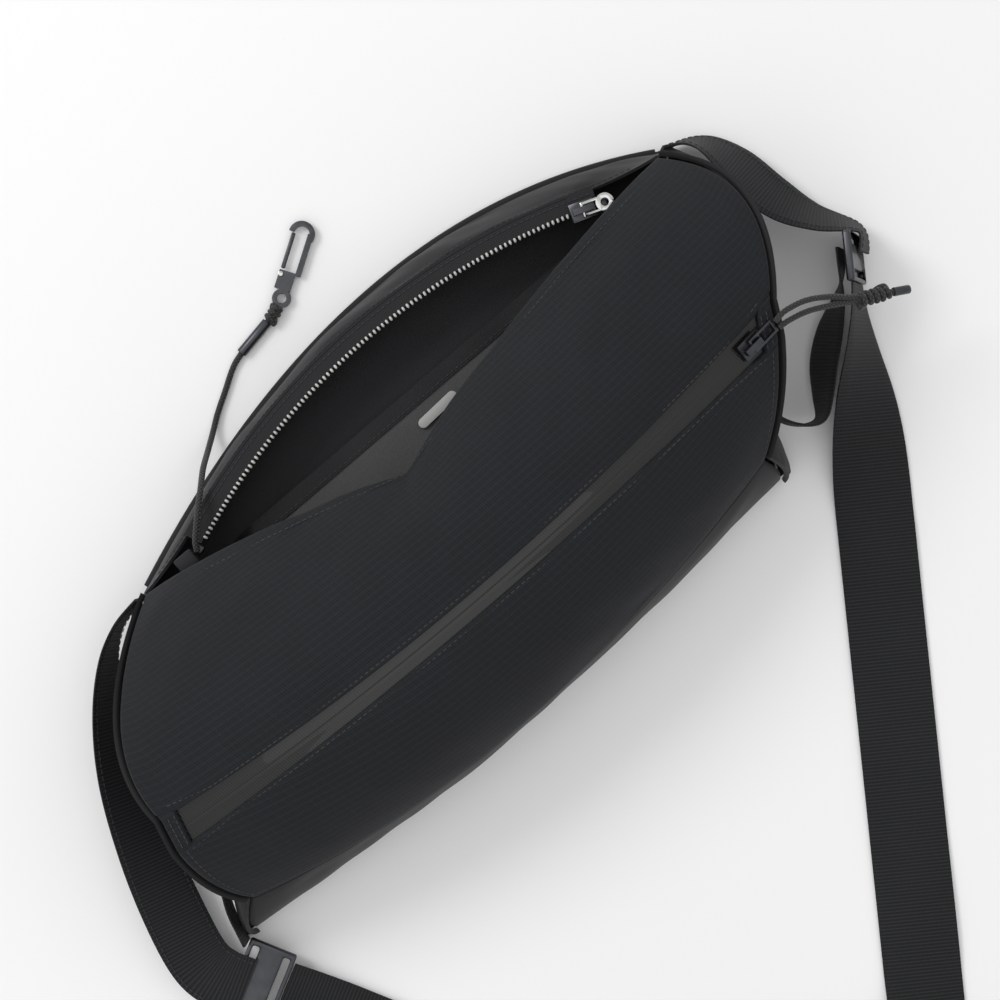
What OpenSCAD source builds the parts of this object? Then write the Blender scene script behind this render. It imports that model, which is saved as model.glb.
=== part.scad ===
// Sling bag lying on its back panel, with its main zip open. Millimetres.
// +Z points out of the bag's front, +Y to its mouth, +X to its right end.
// The origin is on the floor, at the middle of the flat back panel.

/* [Body] */
// Half the length of the back panel along its side edges
back_half_len = 168; // [150:1:190]
// Height of the back panel's side edges above its middle
shoulder_y = 61; // [50:1:75]
// Height of the crown of the curved top edge
crown_y = 103; // [88:1:120]
// Depth of the bottom corners below the middle
foot_y = 98; // [85:1:115]
// Extra depth of the bottom edge at its middle
foot_bow = 6; // [2:1:12]
// Height of the front at the middle of the pocket zip
body_depth = 104; // [88:1:125]
// Height of the front at the ends of the pocket zip
end_depth = 84; // [70:1:100]
// Sideways lean of the relaxed bag for each unit of height
lean = 0.387; // [0:0.01:0.45]

/* [Fabric] */
// Thickness of the shell fabric with its backing
shell_t = 1.6; // [1:0.1:2.4]
// Thickness of the back foam
foam_t = 5; // [3:0.5:9]
// Thickness of a lining layer
lining_t = 1; // [0.6:0.1:1.6]
// Gap left at a seam between two panels
seam_gap = 0.4; // [0.2:0.05:0.8]

/* [Pocket zip] */
// Half the length of the pocket zip
zip_half_len = 183; // [165:1:200]
// Width of the coated tape that shows
zip_w = 18; // [12:1:24]
// Distance of the pocket zip below the middle
zip_y = 45; // [35:1:58]

/* [Main zip] */
// Radius of the rear row of teeth
teeth_r = 340; // [300:5:380]
// Angle that the teeth span
teeth_span = 43; // [36:1:48]
// Height of the rear teeth over the floor
teeth_z = 35; // [28:1:42]
// Depth of the sag in the mouth's front edge
mouth_y = 22; // [10:1:32]

/* [Straps] */
// Width of the webbing
web_w = 38; // [25:1:44]
// Thickness of the webbing
web_t = 1.6; // [1.2:0.1:2.4]
// Length of a buckle along its bars
buckle_l = 46; // [44:1:56]
// Width of a buckle along the strap
buckle_w = 24; // [20:1:32]
// Thickness of a buckle
buckle_t = 4; // [3:0.5:6]

/* [Key leash] */
// Diameter of the leash cord
leash_d = 3; // [2:0.5:4]
// Diameter of the pocket zip's pull cord
pull_cord_d = 3; // [2:0.5:4]
// Length of the key clip
clip_l = 44; // [36:1:60]

/* [Hidden] */
$fn = 48;

shell_col = "#2a2c30";
web_col = "#1d1e20";
lining_col = "#3a3b3d";
metal_col = "#5b5c60";

// ---- The body surface: u runs along the length, v round the profile ----
// v = 0 back edge, 1 bottom seam, 2 and 3 the edges of the pocket zip, 4 the mouth's edge
floor_gap = 0.3;
bottom_z = shell_t + floor_gap;
seam_drop = 46;
half_zip_y = zip_w / 2;
mouth_drop = 36;
mouth_edge_y = 58;

function lerp(a, b, t) = a + (b - a) * t;
function bez(a, b, c, t) = a * (1 - t) * (1 - t) + b * 2 * t * (1 - t) + c * t * t;
function leaned(p) = [p[0] + lean * p[1], p[1], p[2]];
function unit(v) = v / norm(v);

// Profile at the middle of the bag, as [y, z]
function mid_knot(k) = [
  [-foot_y - foot_bow, bottom_z],
  [-foot_y - foot_bow + 1, body_depth - seam_drop],
  [-zip_y - half_zip_y, body_depth - 1],
  [-zip_y + half_zip_y, body_depth],
  [mouth_y, body_depth - mouth_drop]][k];
function mid_pull(k) = [
  [-foot_y - foot_bow - 6, body_depth * 0.29],
  [-foot_y + 10, body_depth - 7],
  [-zip_y, body_depth],
  [mouth_y - 16, body_depth + 3]][k];

// Profile at the ends, as [x, y, z]
function end_knot(k) = [
  [back_half_len, -foot_y, bottom_z],
  [back_half_len - 10, -foot_y + 15, end_depth - 30],
  [zip_half_len - 1, -zip_y + 2, end_depth - 2],
  [zip_half_len + 1, -zip_y + half_zip_y + 8, end_depth],
  [back_half_len - 8, mouth_edge_y, end_depth - 46]][k];
function end_pull(k) = [
  [back_half_len + 3, -foot_y + 1, end_depth - 54],
  [zip_half_len - 8, -foot_y + 30, end_depth - 10],
  [zip_half_len, -zip_y + half_zip_y, end_depth - 1],
  [zip_half_len + 24, 20, end_depth]][k];

function mid_at(v) = let (k = min(3, floor(v)), t = v - k)
    bez(mid_knot(k), mid_pull(k), mid_knot(k + 1), t);
function end_at(v) = let (k = min(3, floor(v)), t = v - k)
    bez(end_knot(k), end_pull(k), end_knot(k + 1), t);

// The mouth's edge rises quickly to each side of its sag, which lies a little left of the middle
sag_shift = 0.085;
function sag(u) = 1 - pow(1 - min(1, abs(u + sag_shift * (1 - u * u))), 1.4);
function spread(u, v) = lerp(u * u, sag(u), max(0, v - 3));
function body_at(u, v) = let (m = mid_at(v), e = end_at(v), g = spread(u, v),
    h = lerp(u * u, pow(abs(u), 3), max(0, v - 3)))
  leaned([u * e[0], lerp(m[0], e[1], g), lerp(m[1], e[2], h)]);
step = 0.004;
function body_normal(u, v) = let (
  a = body_at(min(1, u + step), v) - body_at(max(-1, u - step), v),
  b = body_at(u, min(4, v + step)) - body_at(u, max(0, v - step)))
  unit(cross(a, b));

// A side panel runs from the ends of the body surface, w = 0, to the back panel's side edge, w = 1
side_bulge = 5;
side_start = 0.3;
function side_foot(v) = [back_half_len, lerp(-foot_y, shoulder_y - 3, v / 4), bottom_z];
function side_at(s, v, w) = let (e = end_at(v), f = side_foot(v), p = lerp(e, f, w))
  leaned([s * (p[0] + side_bulge * sin(180 * w)), p[1], p[2]]);

// ---- Meshes made from grids of points ----
// A closed slab between two grids of points, each nr rows by nc columns
module slab(top, low, nr, nc, flip = false) {
  n = nr * nc;
  at = function (i, j) i * nc + j;
  quads = [for (i = [0:nr - 2], j = [0:nc - 2]) [at(i, j), at(i, j + 1), at(i + 1, j + 1), at(i + 1, j)]];
  ring = concat([for (j = [0:nc - 2]) at(0, j)], [for (i = [0:nr - 2]) at(i, nc - 1)],
    [for (j = [nc - 1:-1:1]) at(nr - 1, j)], [for (i = [nr - 1:-1:1]) at(i, 0)]);
  m = len(ring);
  up = [for (q = quads, t = [[q[0], q[1], q[2]], [q[0], q[2], q[3]]]) t];
  down = [for (t = up) [t[2] + n, t[1] + n, t[0] + n]];
  walls = [for (k = [0:m - 1]) let (a = ring[k], b = ring[(k + 1) % m]) for (t = [[a, a + n, b + n],
      [a, b + n, b]]) t];
  faces = concat(up, down, walls);
  polyhedron(points = concat(top, low), faces = flip ? [for (f = faces) [f[2], f[1], f[0]]] : faces,
      convexity = 6);
}

// Part of the body surface as a panel, from t0 to t1 below the outside
module body_slab(u0, u1, nu, v0, v1, nv, t0, t1) {
  grid = function (t) [for (i = [0:nu], j = [0:nv])
    let (u = lerp(u0, u1, i / nu), v = lerp(v0, v1, j / nv)) body_at(u, v) - body_normal(u, v) * t];
  slab(grid(t0), grid(t1), nu + 1, nv + 1);
}

// A flat band swept along hand-placed sections [x, y, z, tilt], its width level at tilt 0 and upright at 90
module band(sections, w, t, steps = 4) {
  n = len(sections);
  at = function (s) let (k = min(n - 2, floor(s)), f = s - k,
    a = sections[max(0, k - 1)], b = sections[k], c = sections[k + 1], d = sections[min(n - 1, k + 2)])
    0.5 * (2 * b + (c - a) * f + (2 * a - 5 * b + 4 * c - d) * f * f + (3 * b - a - 3 * c + d) * f * f * f);
  lift = function (p) max(p[2], w / 2 * abs(sin(p[3])) + t / 2 * abs(cos(p[3])) + floor_gap);
  m = (n - 1) * steps;
  frames = [for (i = [0:m]) let (s = i / steps, p = at(s),
    q = at(min(n - 1, s + 0.02)) - at(max(0, s - 0.02)), run = unit([q[0], q[1], 0]),
    across = [run[1], -run[0], 0] * cos(p[3]) + [0, 0, 1] * sin(p[3]),
    out = unit(cross(across, unit([q[0], q[1], q[2]]))))
    [[p[0], p[1], lift(p)], across, out]];
  pts = [for (f = frames, c = [[1, 1], [-1, 1], [-1, -1],
      [1, -1]]) f[0] + f[1] * c[0] * w / 2 + f[2] * c[1] * t / 2];
  sides = [for (i = [0:m - 1], j = [0:3]) let (a = i * 4 + j, b = i * 4 + (j + 1) % 4)
    for (tri = j == 2 ? [[a, b, a + 4], [b, b + 4, a + 4]] : [[a, b, b + 4], [a, b + 4, a + 4]]) tri];
  polyhedron(points = pts, faces = concat([[2, 1, 0], [3, 2, 0]], sides,
    [[m * 4, m * 4 + 1, m * 4 + 2], [m * 4, m * 4 + 2, m * 4 + 3]]), convexity = 6);
}

// A round cord swept along hand-placed points
module cord(route, d, sides = 8, steps = 3) {
  n = len(route);
  at = function (s) let (k = min(n - 2, floor(s)), f = s - k,
    a = route[max(0, k - 1)], b = route[k], c = route[k + 1], e = route[min(n - 1, k + 2)])
    0.5 * (2 * b + (c - a) * f + (2 * a - 5 * b + 4 * c - e) * f * f + (3 * b - a - 3 * c + e) * f * f * f);
  m = (n - 1) * steps;
  pts = [for (i = [0:m]) let (s = i / steps, p = at(s), t = unit(at(min(n - 1, s + 0.05)) - at(max(0,
      s - 0.05))),
    a = unit(cross(t, [0.1, 0.2, 1])), b = cross(t, a))
    for (j = [0:sides - 1]) p + (a * cos(360 * j / sides) + b * sin(360 * j / sides)) * d / 2];
  walls = [for (i = [0:m - 1], j = [0:sides - 1]) let (p = i * sides + j, q = i * sides + (j + 1) % sides)
    for (tri = [[p, q + sides, q], [p, p + sides, q + sides]]) tri];
  caps = concat([for (j = [1:sides - 2]) [0, j, j + 1]],
    [for (j = [1:sides - 2]) [m * sides, m * sides + j + 1, m * sides + j]]);
  polyhedron(points = pts, faces = concat(walls, caps), convexity = 6);
}

// ---- Back ----
arc_steps = 24;
function back_outline(inset) = let (x = back_half_len - inset, y0 = -foot_y + inset, y1 = shoulder_y,
    top = crown_y - inset)
  concat(
    [for (i = [0:arc_steps]) let (u = -1 + 2 * i / arc_steps) leaned([x * u, y0 - foot_bow * (1 - u * u),
        0])],
    [for (i = [0:arc_steps]) let (u = 1 - 2 * i / arc_steps) leaned([x * u,
        y1 - inset / 2 + (top - y1 + inset / 2) * (1 - u * u), 0])]);
function flat(pts) = [for (p = pts) [p[0], p[1]]];
module back_plate(inset, z, t) {
  translate([0, 0, z]) linear_extrude(t) polygon(flat(back_outline(inset)));
}

foam_inset = 7;
foam_z = shell_t;
lining_z = foam_z + foam_t;
inside_z = lining_z + lining_t;
module back_panel() { color(shell_col) back_plate(0, 0, shell_t); }
module back_foam() { color("#45464a") back_plate(foam_inset, foam_z, foam_t); }
module back_lining() { color(lining_col) back_plate(foam_inset, lining_z, lining_t); }

// ---- Shell panels ----
panel_nu = 36;
seam_v = 0.012;
end_u = 0.996;
module bottom_panel() { color(shell_col) body_slab(-end_u, end_u, panel_nu, 0, 1 - seam_v, 4, 0, shell_t); }
module front_lower_panel() {
  color(shell_col) body_slab(-end_u, end_u, panel_nu, 1, 2 - seam_v, 5, 0, shell_t);
}
module front_upper_panel() {
  color(shell_col) body_slab(-end_u, end_u, panel_nu, 3 + seam_v, 4, 9, 0, shell_t);
}

side_nv = 16;
side_nw = 5;
side_w1 = 0.98;
function side_w0(v) = 1.25 * (shell_t + seam_gap) / norm(end_at(v) - side_foot(v));
module side_panel(s) {
  grid = function (t) [for (i = [0:side_nv], j = [0:side_nw])
    let (v = lerp(side_start, 4, i / side_nv), w = lerp(side_w0(v), side_w1, j / side_nw))
    side_at(s, v, w) - [s * t, 0, 0]];
  slab(grid(0), grid(shell_t), side_nv + 1, side_nw + 1, flip = s > 0);
}
module side_panel_left() { color(shell_col) side_panel(-1); }
module side_panel_right() { color(shell_col) side_panel(1); }

// ---- Top band, main zip ----
teeth_c = [22, -257];
tape_w = 9;
tape_t = 1;
coil_d = 2.4;
module arc_bar(r0, r1, z0, z1, trim = 0) {
  translate([teeth_c[0], teeth_c[1], 0]) rotate([0, 0, 90 - teeth_span / 2 + trim])
    rotate_extrude(angle = teeth_span - 2 * trim, $fn = 180) translate([r0, z0]) square([r1 - r0, z1 - z0]);
}
module main_tape_rear() {
  color(web_col) arc_bar(teeth_r + coil_d / 2 + 0.1, teeth_r + tape_w, teeth_z - tape_t / 2,
      teeth_z + tape_t / 2);
}
module main_teeth_rear() {
  color("#c9cac8") arc_bar(teeth_r - coil_d / 2, teeth_r + coil_d / 2, teeth_z - coil_d / 2,
      teeth_z + coil_d / 2, 0.4);
}

// The band from the rim up to the rear tape
rim_r = 2.6;
band_n = 28;
tape_out = teeth_r + tape_w + seam_gap;
function rim_at(u) = leaned([(back_half_len - 3) * u, shoulder_y + (crown_y - 2 - shoulder_y) * (1 - u * u),
    shell_t + rim_r + 0.2]);
function tape_at(u) = let (a = 90 - teeth_span / 2 * u * 1.12)
    [teeth_c[0] + tape_out * cos(a), teeth_c[1] + tape_out * sin(a), teeth_z - max(0, abs(u) - 0.8) * 40];
module rear_band() {
  nv = 4;
  lift = rim_r + 0.8;
  pt = function (u, f, t) let (r = rim_at(u) + [0, 0, lift], e = tape_at(u), c = (r + e) / 2 + [0, 3, 5])
      bez(r, c, e, f) + [0, 0, t];
  grid = function (t) [for (i = [0:band_n], j = [0:nv]) pt(lerp(-0.97, 0.97, i / band_n), j / nv, t)];
  color(shell_col) slab(grid(shell_t / 2), grid(-shell_t / 2), band_n + 1, nv + 1, flip = true);
}
module rim_piping() {
  color(shell_col) cord([for (i = [0:14]) rim_at(lerp(-0.98, 0.98, i / 14))], 2 * rim_r, steps = 2);
}

// The front tape and teeth lie under the mouth's front edge
front_tape_drop = shell_t + 0.3;
front_teeth_drop = front_tape_drop + tape_t + 0.35;
module front_edge_strip(v0, v1, t0, t1) { body_slab(-0.84, 0.84, 30, v0, v1, 1, t0, t1); }
module main_tape_front() {
  color(web_col) front_edge_strip(3.87, 3.985, front_tape_drop, front_tape_drop + tape_t);
}
module main_teeth_front() {
  color("#8f908e") front_edge_strip(3.95, 3.99, front_teeth_drop, front_teeth_drop + coil_d);
}

stop_l = 4;
module on_teeth(a) {
  translate([teeth_c[0], teeth_c[1], 0]) rotate([0, 0, a]) translate([teeth_r, 0, teeth_z]) children();
}
teeth_right_a = 90 - teeth_span / 2;
teeth_left_a = 90 + teeth_span / 2;
slider_l = 12;
module stop_block() {
  translate([-coil_d, -stop_l / 2, -coil_d / 2 - 0.6]) cube([2 * coil_d, stop_l, coil_d + 1.2]);
}
module main_stop_left() {
  color(metal_col) on_teeth(teeth_left_a) translate([0, stop_l / 2 + 0.2, 0]) stop_block();
}
module main_stop_right() {
  color(metal_col) on_teeth(teeth_right_a) translate([0, -stop_l / 2 - 0.2, 0]) stop_block();
}

// A slider: two plates with side walls around the coil, and a bridge for the pull
slider_w = 9;
slider_gap = 0.5;
plate_t = 1.2;
bridge_w = 3;
bridge_h = 3.6;
module slider_body(inner) {
  for (s = [0, 1]) mirror([0, 0, s]) translate([-slider_w / 2, -slider_l / 2, inner])
      cube([slider_w, slider_l, plate_t]);
  translate([-slider_w / 2, -slider_l / 2, -inner - 0.01]) cube([1, slider_l, 2 * inner + 0.02]);
  difference() {
    translate([-bridge_w / 2, -slider_l / 2 + 1, inner + plate_t - 0.01])
        cube([bridge_w, slider_l - 2, bridge_h]);
    translate([-bridge_w, 0, inner + plate_t + 1.4]) rotate([0, 90, 0]) cylinder(r = 1.1, h = 2 * bridge_w);
  }
}
main_inner = coil_d / 2 + slider_gap;
main_slider_a = teeth_right_a + 1.4;
main_pin_z = main_inner + plate_t + 1.4;
module main_slider() { color(metal_col) on_teeth(main_slider_a) slider_body(main_inner); }
// The pull hangs on a round pin through the bridge and lies towards the end of the zip
pull_w = 7;
main_pull_l = 8;
module main_pull() {
  color("#8d8e92") on_teeth(main_slider_a) translate([0, 0, main_pin_z]) {
    rotate([0, 90, 0]) translate([0, 0, -pull_w / 2]) cylinder(r = 0.75, h = pull_w);
    for (s = [-1, 1]) translate([s * (pull_w / 2 - 0.6) - 0.6, -main_pull_l, -0.6])
        cube([1.2, main_pull_l, 1.2]);
    translate([0, -main_pull_l - 3, -0.6]) difference() {
      cylinder(r = 4.4, h = 1.2);
      translate([0, 0, -1]) cylinder(r = 2, h = 4);
    }
  }
}

// ---- Pocket zip ----
zip_sink = 1.2;
module front_zip_tape() {
  color("#1b1c1a") body_slab(-end_u + 0.05, end_u - 0.05, panel_nu, 2 + 0.02, 3 - 0.02, 2, zip_sink,
      zip_sink + tape_t);
}
module front_zip_coil() {
  color("#202122") body_slab(-0.93, 0.93, panel_nu, 2.43, 2.57, 1, zip_sink + tape_t + 0.1,
      zip_sink + tape_t + 0.1 + coil_d);
}
module garage(s) {
  u0 = min(s * 0.955, s * 0.99);
  body_slab(u0, u0 + 0.035, 3, 2 + 0.03, 3 - 0.03, 2, -0.8, zip_sink - 0.2);
}
module zip_garage_left() { color(shell_col) garage(-1); }
module zip_garage_right() { color(shell_col) garage(1); }

// The pocket slider rides on an arc through the zip's ends and its middle
zip_ends = body_at(1, 2.5);
zip_mid = body_at(0, 2.5);
zip_sag = [0, zip_mid[1] - zip_ends[1], zip_mid[2] - zip_ends[2]];
arc_r = (zip_half_len * zip_half_len + zip_sag * zip_sag) / (2 * norm(zip_sag));
arc_up = unit(zip_sag);
arc_c = zip_mid - arc_up * arc_r;
arc_tilt = atan2(-arc_up[1], arc_up[2]);
slider_a = asin(zip_half_len * 0.925 / arc_r);
module on_zip(a) {
  translate(arc_c) rotate([arc_tilt, 0, 0]) rotate([0, a, 0]) translate([0, 0, arc_r]) rotate([0, 0, 90])
      children();
}
fs_lift = 0.8;
fs_pin_z = fs_lift + plate_t + 1.4;
module front_slider() {
  color(metal_col) on_zip(slider_a) {
    translate([-slider_w / 2, -slider_l / 2, fs_lift]) cube([slider_w, slider_l, plate_t]);
    difference() {
      translate([-bridge_w / 2, -slider_l / 2 + 1, fs_lift + plate_t - 0.01])
          cube([bridge_w, slider_l - 2, bridge_h]);
      translate([-bridge_w, 0, fs_pin_z]) rotate([0, 90, 0]) cylinder(r = 1.1, h = 2 * bridge_w);
    }
  }
}
tab_l = 13;
module front_pull_tab() {
  color(metal_col) on_zip(slider_a) translate([0, 0, fs_pin_z]) {
    rotate([0, 90, 0]) translate([0, 0, -pull_w / 2]) cylinder(r = 0.75, h = pull_w);
    for (s = [-1, 1]) translate([s * (pull_w / 2 - 0.6) - 0.6, -tab_l, -0.6]) cube([1.2, tab_l, 1.2]);
    translate([-pull_w / 2, -tab_l - 1.4, -0.7]) cube([pull_w, 1.4, 1.4]);
  }
}

// The pull cord's loop, knot and end tube, in the slider's own frame: x across the zip, -y outwards
pull_route = [[-1.8, -14.6, 2.6], [-2.4, -20, 3.4], [-6, -30, 3.8], [-12, -40, 4], [-18.2, -49, 4]];
knot_from = [-20.8, -53.1, 4.2];
knot_to = [-28, -65, 4.2];
tube_from = [-30.9, -69.2, 4.2];
tube_l = 9;
module pull_cord() {
  color(web_col) on_zip(slider_a) translate([0, 0, fs_pin_z]) {
    cord(pull_route, pull_cord_d);
    cord([for (p = pull_route) p + [pull_cord_d + 0.3, 0, 0]], pull_cord_d);
  }
}
knot_r = 4.4;
module pull_knot() {
  color(web_col) on_zip(slider_a) translate([0, 0, fs_pin_z])
    hull() for (p = [knot_from, knot_to]) translate(p) sphere(r = knot_r, $fn = 24);
}
module pull_end_tube() {
  run = tube_from - knot_to;
  color(metal_col) on_zip(slider_a) translate(tube_from + [0, 0, fs_pin_z])
    rotate([0, 0, atan2(run[1], run[0])]) rotate([0, 90, 0]) cylinder(r = 2.1, h = tube_l);
}

// ---- Inside ----
// The pocket's rear wall runs behind the lower front panel, from the bottom seam to the zip
divider_clear = shell_t + 0.5;
divider_nu = 24;
module divider_slab(t0, t1) {
  nu = divider_nu;
  at = function (u, f, t) let (a = body_at(u, 1.03) - body_normal(u, 1.03) * divider_clear,
    b = body_at(u, 3.05) - body_normal(u, 3.05) * divider_clear) lerp(a, b, f) + [0, 0.55, -0.83] * t;
  grid = function (t) [for (i = [0:nu], j = [0:3]) let (u = lerp(-0.93, 0.93, i / nu)) at(u, j / 3, t)];
  slab(grid(t0), grid(t1), nu + 1, 4);
}
module pocket_divider() { color(lining_col) divider_slab(0.3, 0.3 + lining_t); }

slip_half = 112;
slip_top = 52;
slip_low = -62;
slip_h = 9;
module slip_outline(half, low, top) {
  polygon(flat([for (p = [[-half, low, 0], [half, low, 0], [half, top, 0], [-half, top, 0]]) leaned(p)]));
}
module slip_pocket() {
  color("#4a4a4b") difference() {
    translate([0, 0, inside_z]) linear_extrude(slip_h) slip_outline(slip_half, slip_low, slip_top);
    translate([0, 0, inside_z - 1]) linear_extrude(slip_h - 1.2 + 1)
        slip_outline(slip_half - 1.5, slip_low + 1.5, slip_top + 5);
  }
}
bind_w = 10;
module slip_pocket_binding() {
  color("#2c2c2e") translate([0, 0, inside_z + slip_h]) linear_extrude(1)
      slip_outline(slip_half - 1, slip_top - bind_w, slip_top - 0.2);
}
label_l = 24;
label_w = 5;
module label_plate() {
  color("#a9aaa8") translate([25, 36, inside_z + slip_h]) rotate([0, 0, 3]) linear_extrude(0.8)
    hull() for (s = [-1, 1]) translate([s * (label_l - label_w) / 2, 0]) circle(d = label_w, $fn = 32);
}

// ---- Key leash ----
leash_route = [[-105.6, 58, 40.8], [-103, 62, 42], [-98, 67, 43], [-92, 73, 42.6], [-85, 80, 38],
    [-79, 87, 28],
  [-73, 93, 14], [-66, 99, 4.5], [-58, 105, 2.2], [-48, 111, 2], [-38, 117, 2], [-31, 119.5, 2.2]];
crimp_from = [-30.2, 119.8, 2.6];
crimp_dir = [0.985, 0.17, 0];
crimp_l = 20;
crimp_r = 2.5;
module along(p, d) { translate(p) rotate([0, 0, atan2(d[1], d[0])]) rotate([0, 90, 0]) children(); }
module leash_anchor() {
  color(web_col) translate([-117.6, 53.5, 36.2]) cube([10, 8, 6.6]);
}
module leash_cord() { color(web_col) cord(leash_route, leash_d); }
module leash_crimp() { color(metal_col) along(crimp_from, crimp_dir) cylinder(r = crimp_r, h = crimp_l); }
knot_p = crimp_from + crimp_dir * (crimp_l + 4.5) + [0, 0, 1.2];
module leash_knot() { color(web_col) translate(knot_p) sphere(r = 3.8, $fn = 24); }
clip_from = knot_p + [4.4, 1, -1.3];
clip_a = 32;
clip_t = 3;
module clip_frame() { translate([clip_from[0], clip_from[1], 1]) rotate([0, 0, clip_a]) children(); }
clip_eye_r = 4.6;
clip_hook_r = 6.4;
module clip_ring(r, hole, h) {
  difference() {
    cylinder(r = r, h = h);
    translate([0, 0, -1]) cylinder(r = hole, h = h + 2);
  }
}
hook_at = clip_l - clip_hook_r;
gate_pivot = [16, 3.9];
gate_w = 2;
module clip_body() {
  color(metal_col) clip_frame() {
    translate([clip_eye_r, 0, 0]) clip_ring(clip_eye_r, 2.4, clip_t);
    translate([2 * clip_eye_r - 0.5, -3, 0]) cube([9.4, 8, clip_t]);
    translate([17, -5.6, 0]) cube([hook_at - 16, 2.6, clip_t]);
    translate([hook_at, 0, 0]) difference() {
      clip_ring(clip_hook_r, clip_hook_r - 2.6, clip_t);
      translate([-20, -3, -1]) cube([20, 23, clip_t + 2]);
    }
  }
}
module clip_pin() {
  color("#8d8e92") clip_frame() translate([gate_pivot[0], gate_pivot[1], clip_t + 0.05])
      cylinder(r = 1.3, h = 0.9);
}
module clip_gate() {
  color(metal_col) clip_frame() translate([gate_pivot[0] + 2.9, gate_pivot[1] - gate_w / 2, 0.5])
    cube([hook_at - gate_pivot[0] - 3.4, gate_w, clip_t - 1]);
}

// ---- Webbing, buckles and shoulder strap ----
strap_z = web_t / 2 + 0.4;
edge_z = web_w / 2 + 0.6;
right_buckle = [224.5, -39, 23.4];
right_run = [-0.567, -0.824];
left_buckle = [-225, -121, 10];
left_run = [0.46, -0.888];
// The right buckle stands nearly on edge beside the bag, and the left one lies flat
right_tilt = 75;
function run_pt(c, r, d, z, tilt) = [c[0] + r[0] * d, c[1] + r[1] * d, z, tilt];
half_b = buckle_w / 2;
reach = half_b + 0.6;

wing_w = web_w - 8;
low_w = 26;
// The wings end on top of the buckles
wing_over = buckle_t / 2 + 0.3 + web_t / 2;
module wing_left() {
  color(web_col) band([[-144, 59.9, 19.5, 90], [-160, 56.4, 20, 88], [-175, 46, 21, 80], [-191, 26, 22, 66],
      [-206, -2, 23, 48],
    [-220, -36, 21, 32], [-231, -70, 17, 16], [-236, -92, 13.6, 4],
    [-234, -105, left_buckle[2] + wing_over, 0], [-228, -117, left_buckle[2] + wing_over, 0]], wing_w,
        web_t);
}
module wing_right() {
  color(web_col) band([[188, 60.7, 19.5, 90], [199, 56.5, 20, 88], [208, 47, 21, 86], [213.5, 30, 22, 82],
    [218.5, 8, 23, 78], [226, -11, 23.4, right_tilt], [235.8, -30.6, 24.4, right_tilt],
    [229.6, -39.9, 24.4, right_tilt]], wing_w, web_t);
}
module lower_web_left() {
  color(web_col) band([[-201, -70, 27, 90], [-207.5, -82, 20, 90], [-211.5, -93, 14, 90],
      [-213.4, -100.2, 12, 90]], low_w, web_t);
}
module lower_web_right() {
  color(web_col) band([[144.3, -68.4, 28, 90], [149, -79, 25, 90], [156, -86, 23, 88], [163, -87, 22, 88],
      [171, -79, 21, 88],
    [181, -68, 20.5, 87], [193, -58, 21, 88], [205, -49.5, 22, 92], [212.8, -43, 23, 98],
        [218.8, -36, 23.4, 105], [222.2, -31, 23.4, 105]], low_w, web_t);
}
slot_w = 3.6;
slot_y = buckle_w / 2 - 4;
module buckle(c, run, tilt = 0) {
  translate(c) rotate([0, 0, atan2(run[1], run[0]) + 90]) rotate([0, tilt, 0]) difference() {
    translate([-buckle_l / 2, -half_b, -buckle_t / 2]) cube([buckle_l, buckle_w, buckle_t]);
    for (s = [-1, 1]) translate([-web_w / 2 - 0.8, s * slot_y - slot_w / 2, -buckle_t])
        cube([web_w + 1.6, slot_w, 2 * buckle_t]);
  }
}
module buckle_left() { color(metal_col) buckle(left_buckle, left_run); }
module buckle_right() { color(metal_col) buckle(right_buckle, right_run, right_tilt); }

// A short sewn tab joins each end of the strap to its buckle
tab_len = 14;
tab_drop = 4;
module strap_end_left() {
  color(web_col) band([run_pt(left_buckle, left_run, reach, left_buckle[2], 0),
    run_pt(left_buckle, left_run, reach + tab_len, left_buckle[2] - tab_drop, 0)], web_w, web_t);
}
module strap_end_right() {
  color(web_col) band([run_pt(right_buckle, right_run, reach, right_buckle[2], right_tilt),
    run_pt(right_buckle, right_run, reach + tab_len, right_buckle[2] - 1, right_tilt - 5)], web_w, web_t);
}
strap_start = reach + tab_len + 0.8;
module shoulder_strap() {
  color(web_col) band([
    run_pt(right_buckle, right_run, strap_start, right_buckle[2] - 1, right_tilt - 5),
    run_pt(right_buckle, right_run, 46, 19, 56), run_pt(right_buckle, right_run, 70, 12, 32),
    run_pt(right_buckle, right_run, 96, 5, 11), run_pt(right_buckle, right_run, 122, strap_z, 0),
    run_pt(right_buckle, right_run, 180, strap_z, 0), run_pt(right_buckle, right_run, 270, strap_z, 0),
    run_pt(right_buckle, right_run, 350, strap_z, 0), run_pt(right_buckle, right_run, 395, 8, 22),
    run_pt(right_buckle, right_run, 430, 17, 62), [-44, -428, edge_z, 88], [-64, -444, edge_z, 90],
        [-88, -444, edge_z, 90],
    [-104, -426, edge_z, 92], [-110, -400, 17, 118], [-118, -365, 8, 158], [-135, -320, strap_z, 180],
    [-158, -262, strap_z, 180], [-182, -206, strap_z, 180],
    run_pt(left_buckle, left_run, 50, 3, 180),
    run_pt(left_buckle, left_run, strap_start, left_buckle[2] - tab_drop - 0.2, 180)], web_w, web_t);
}

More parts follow.
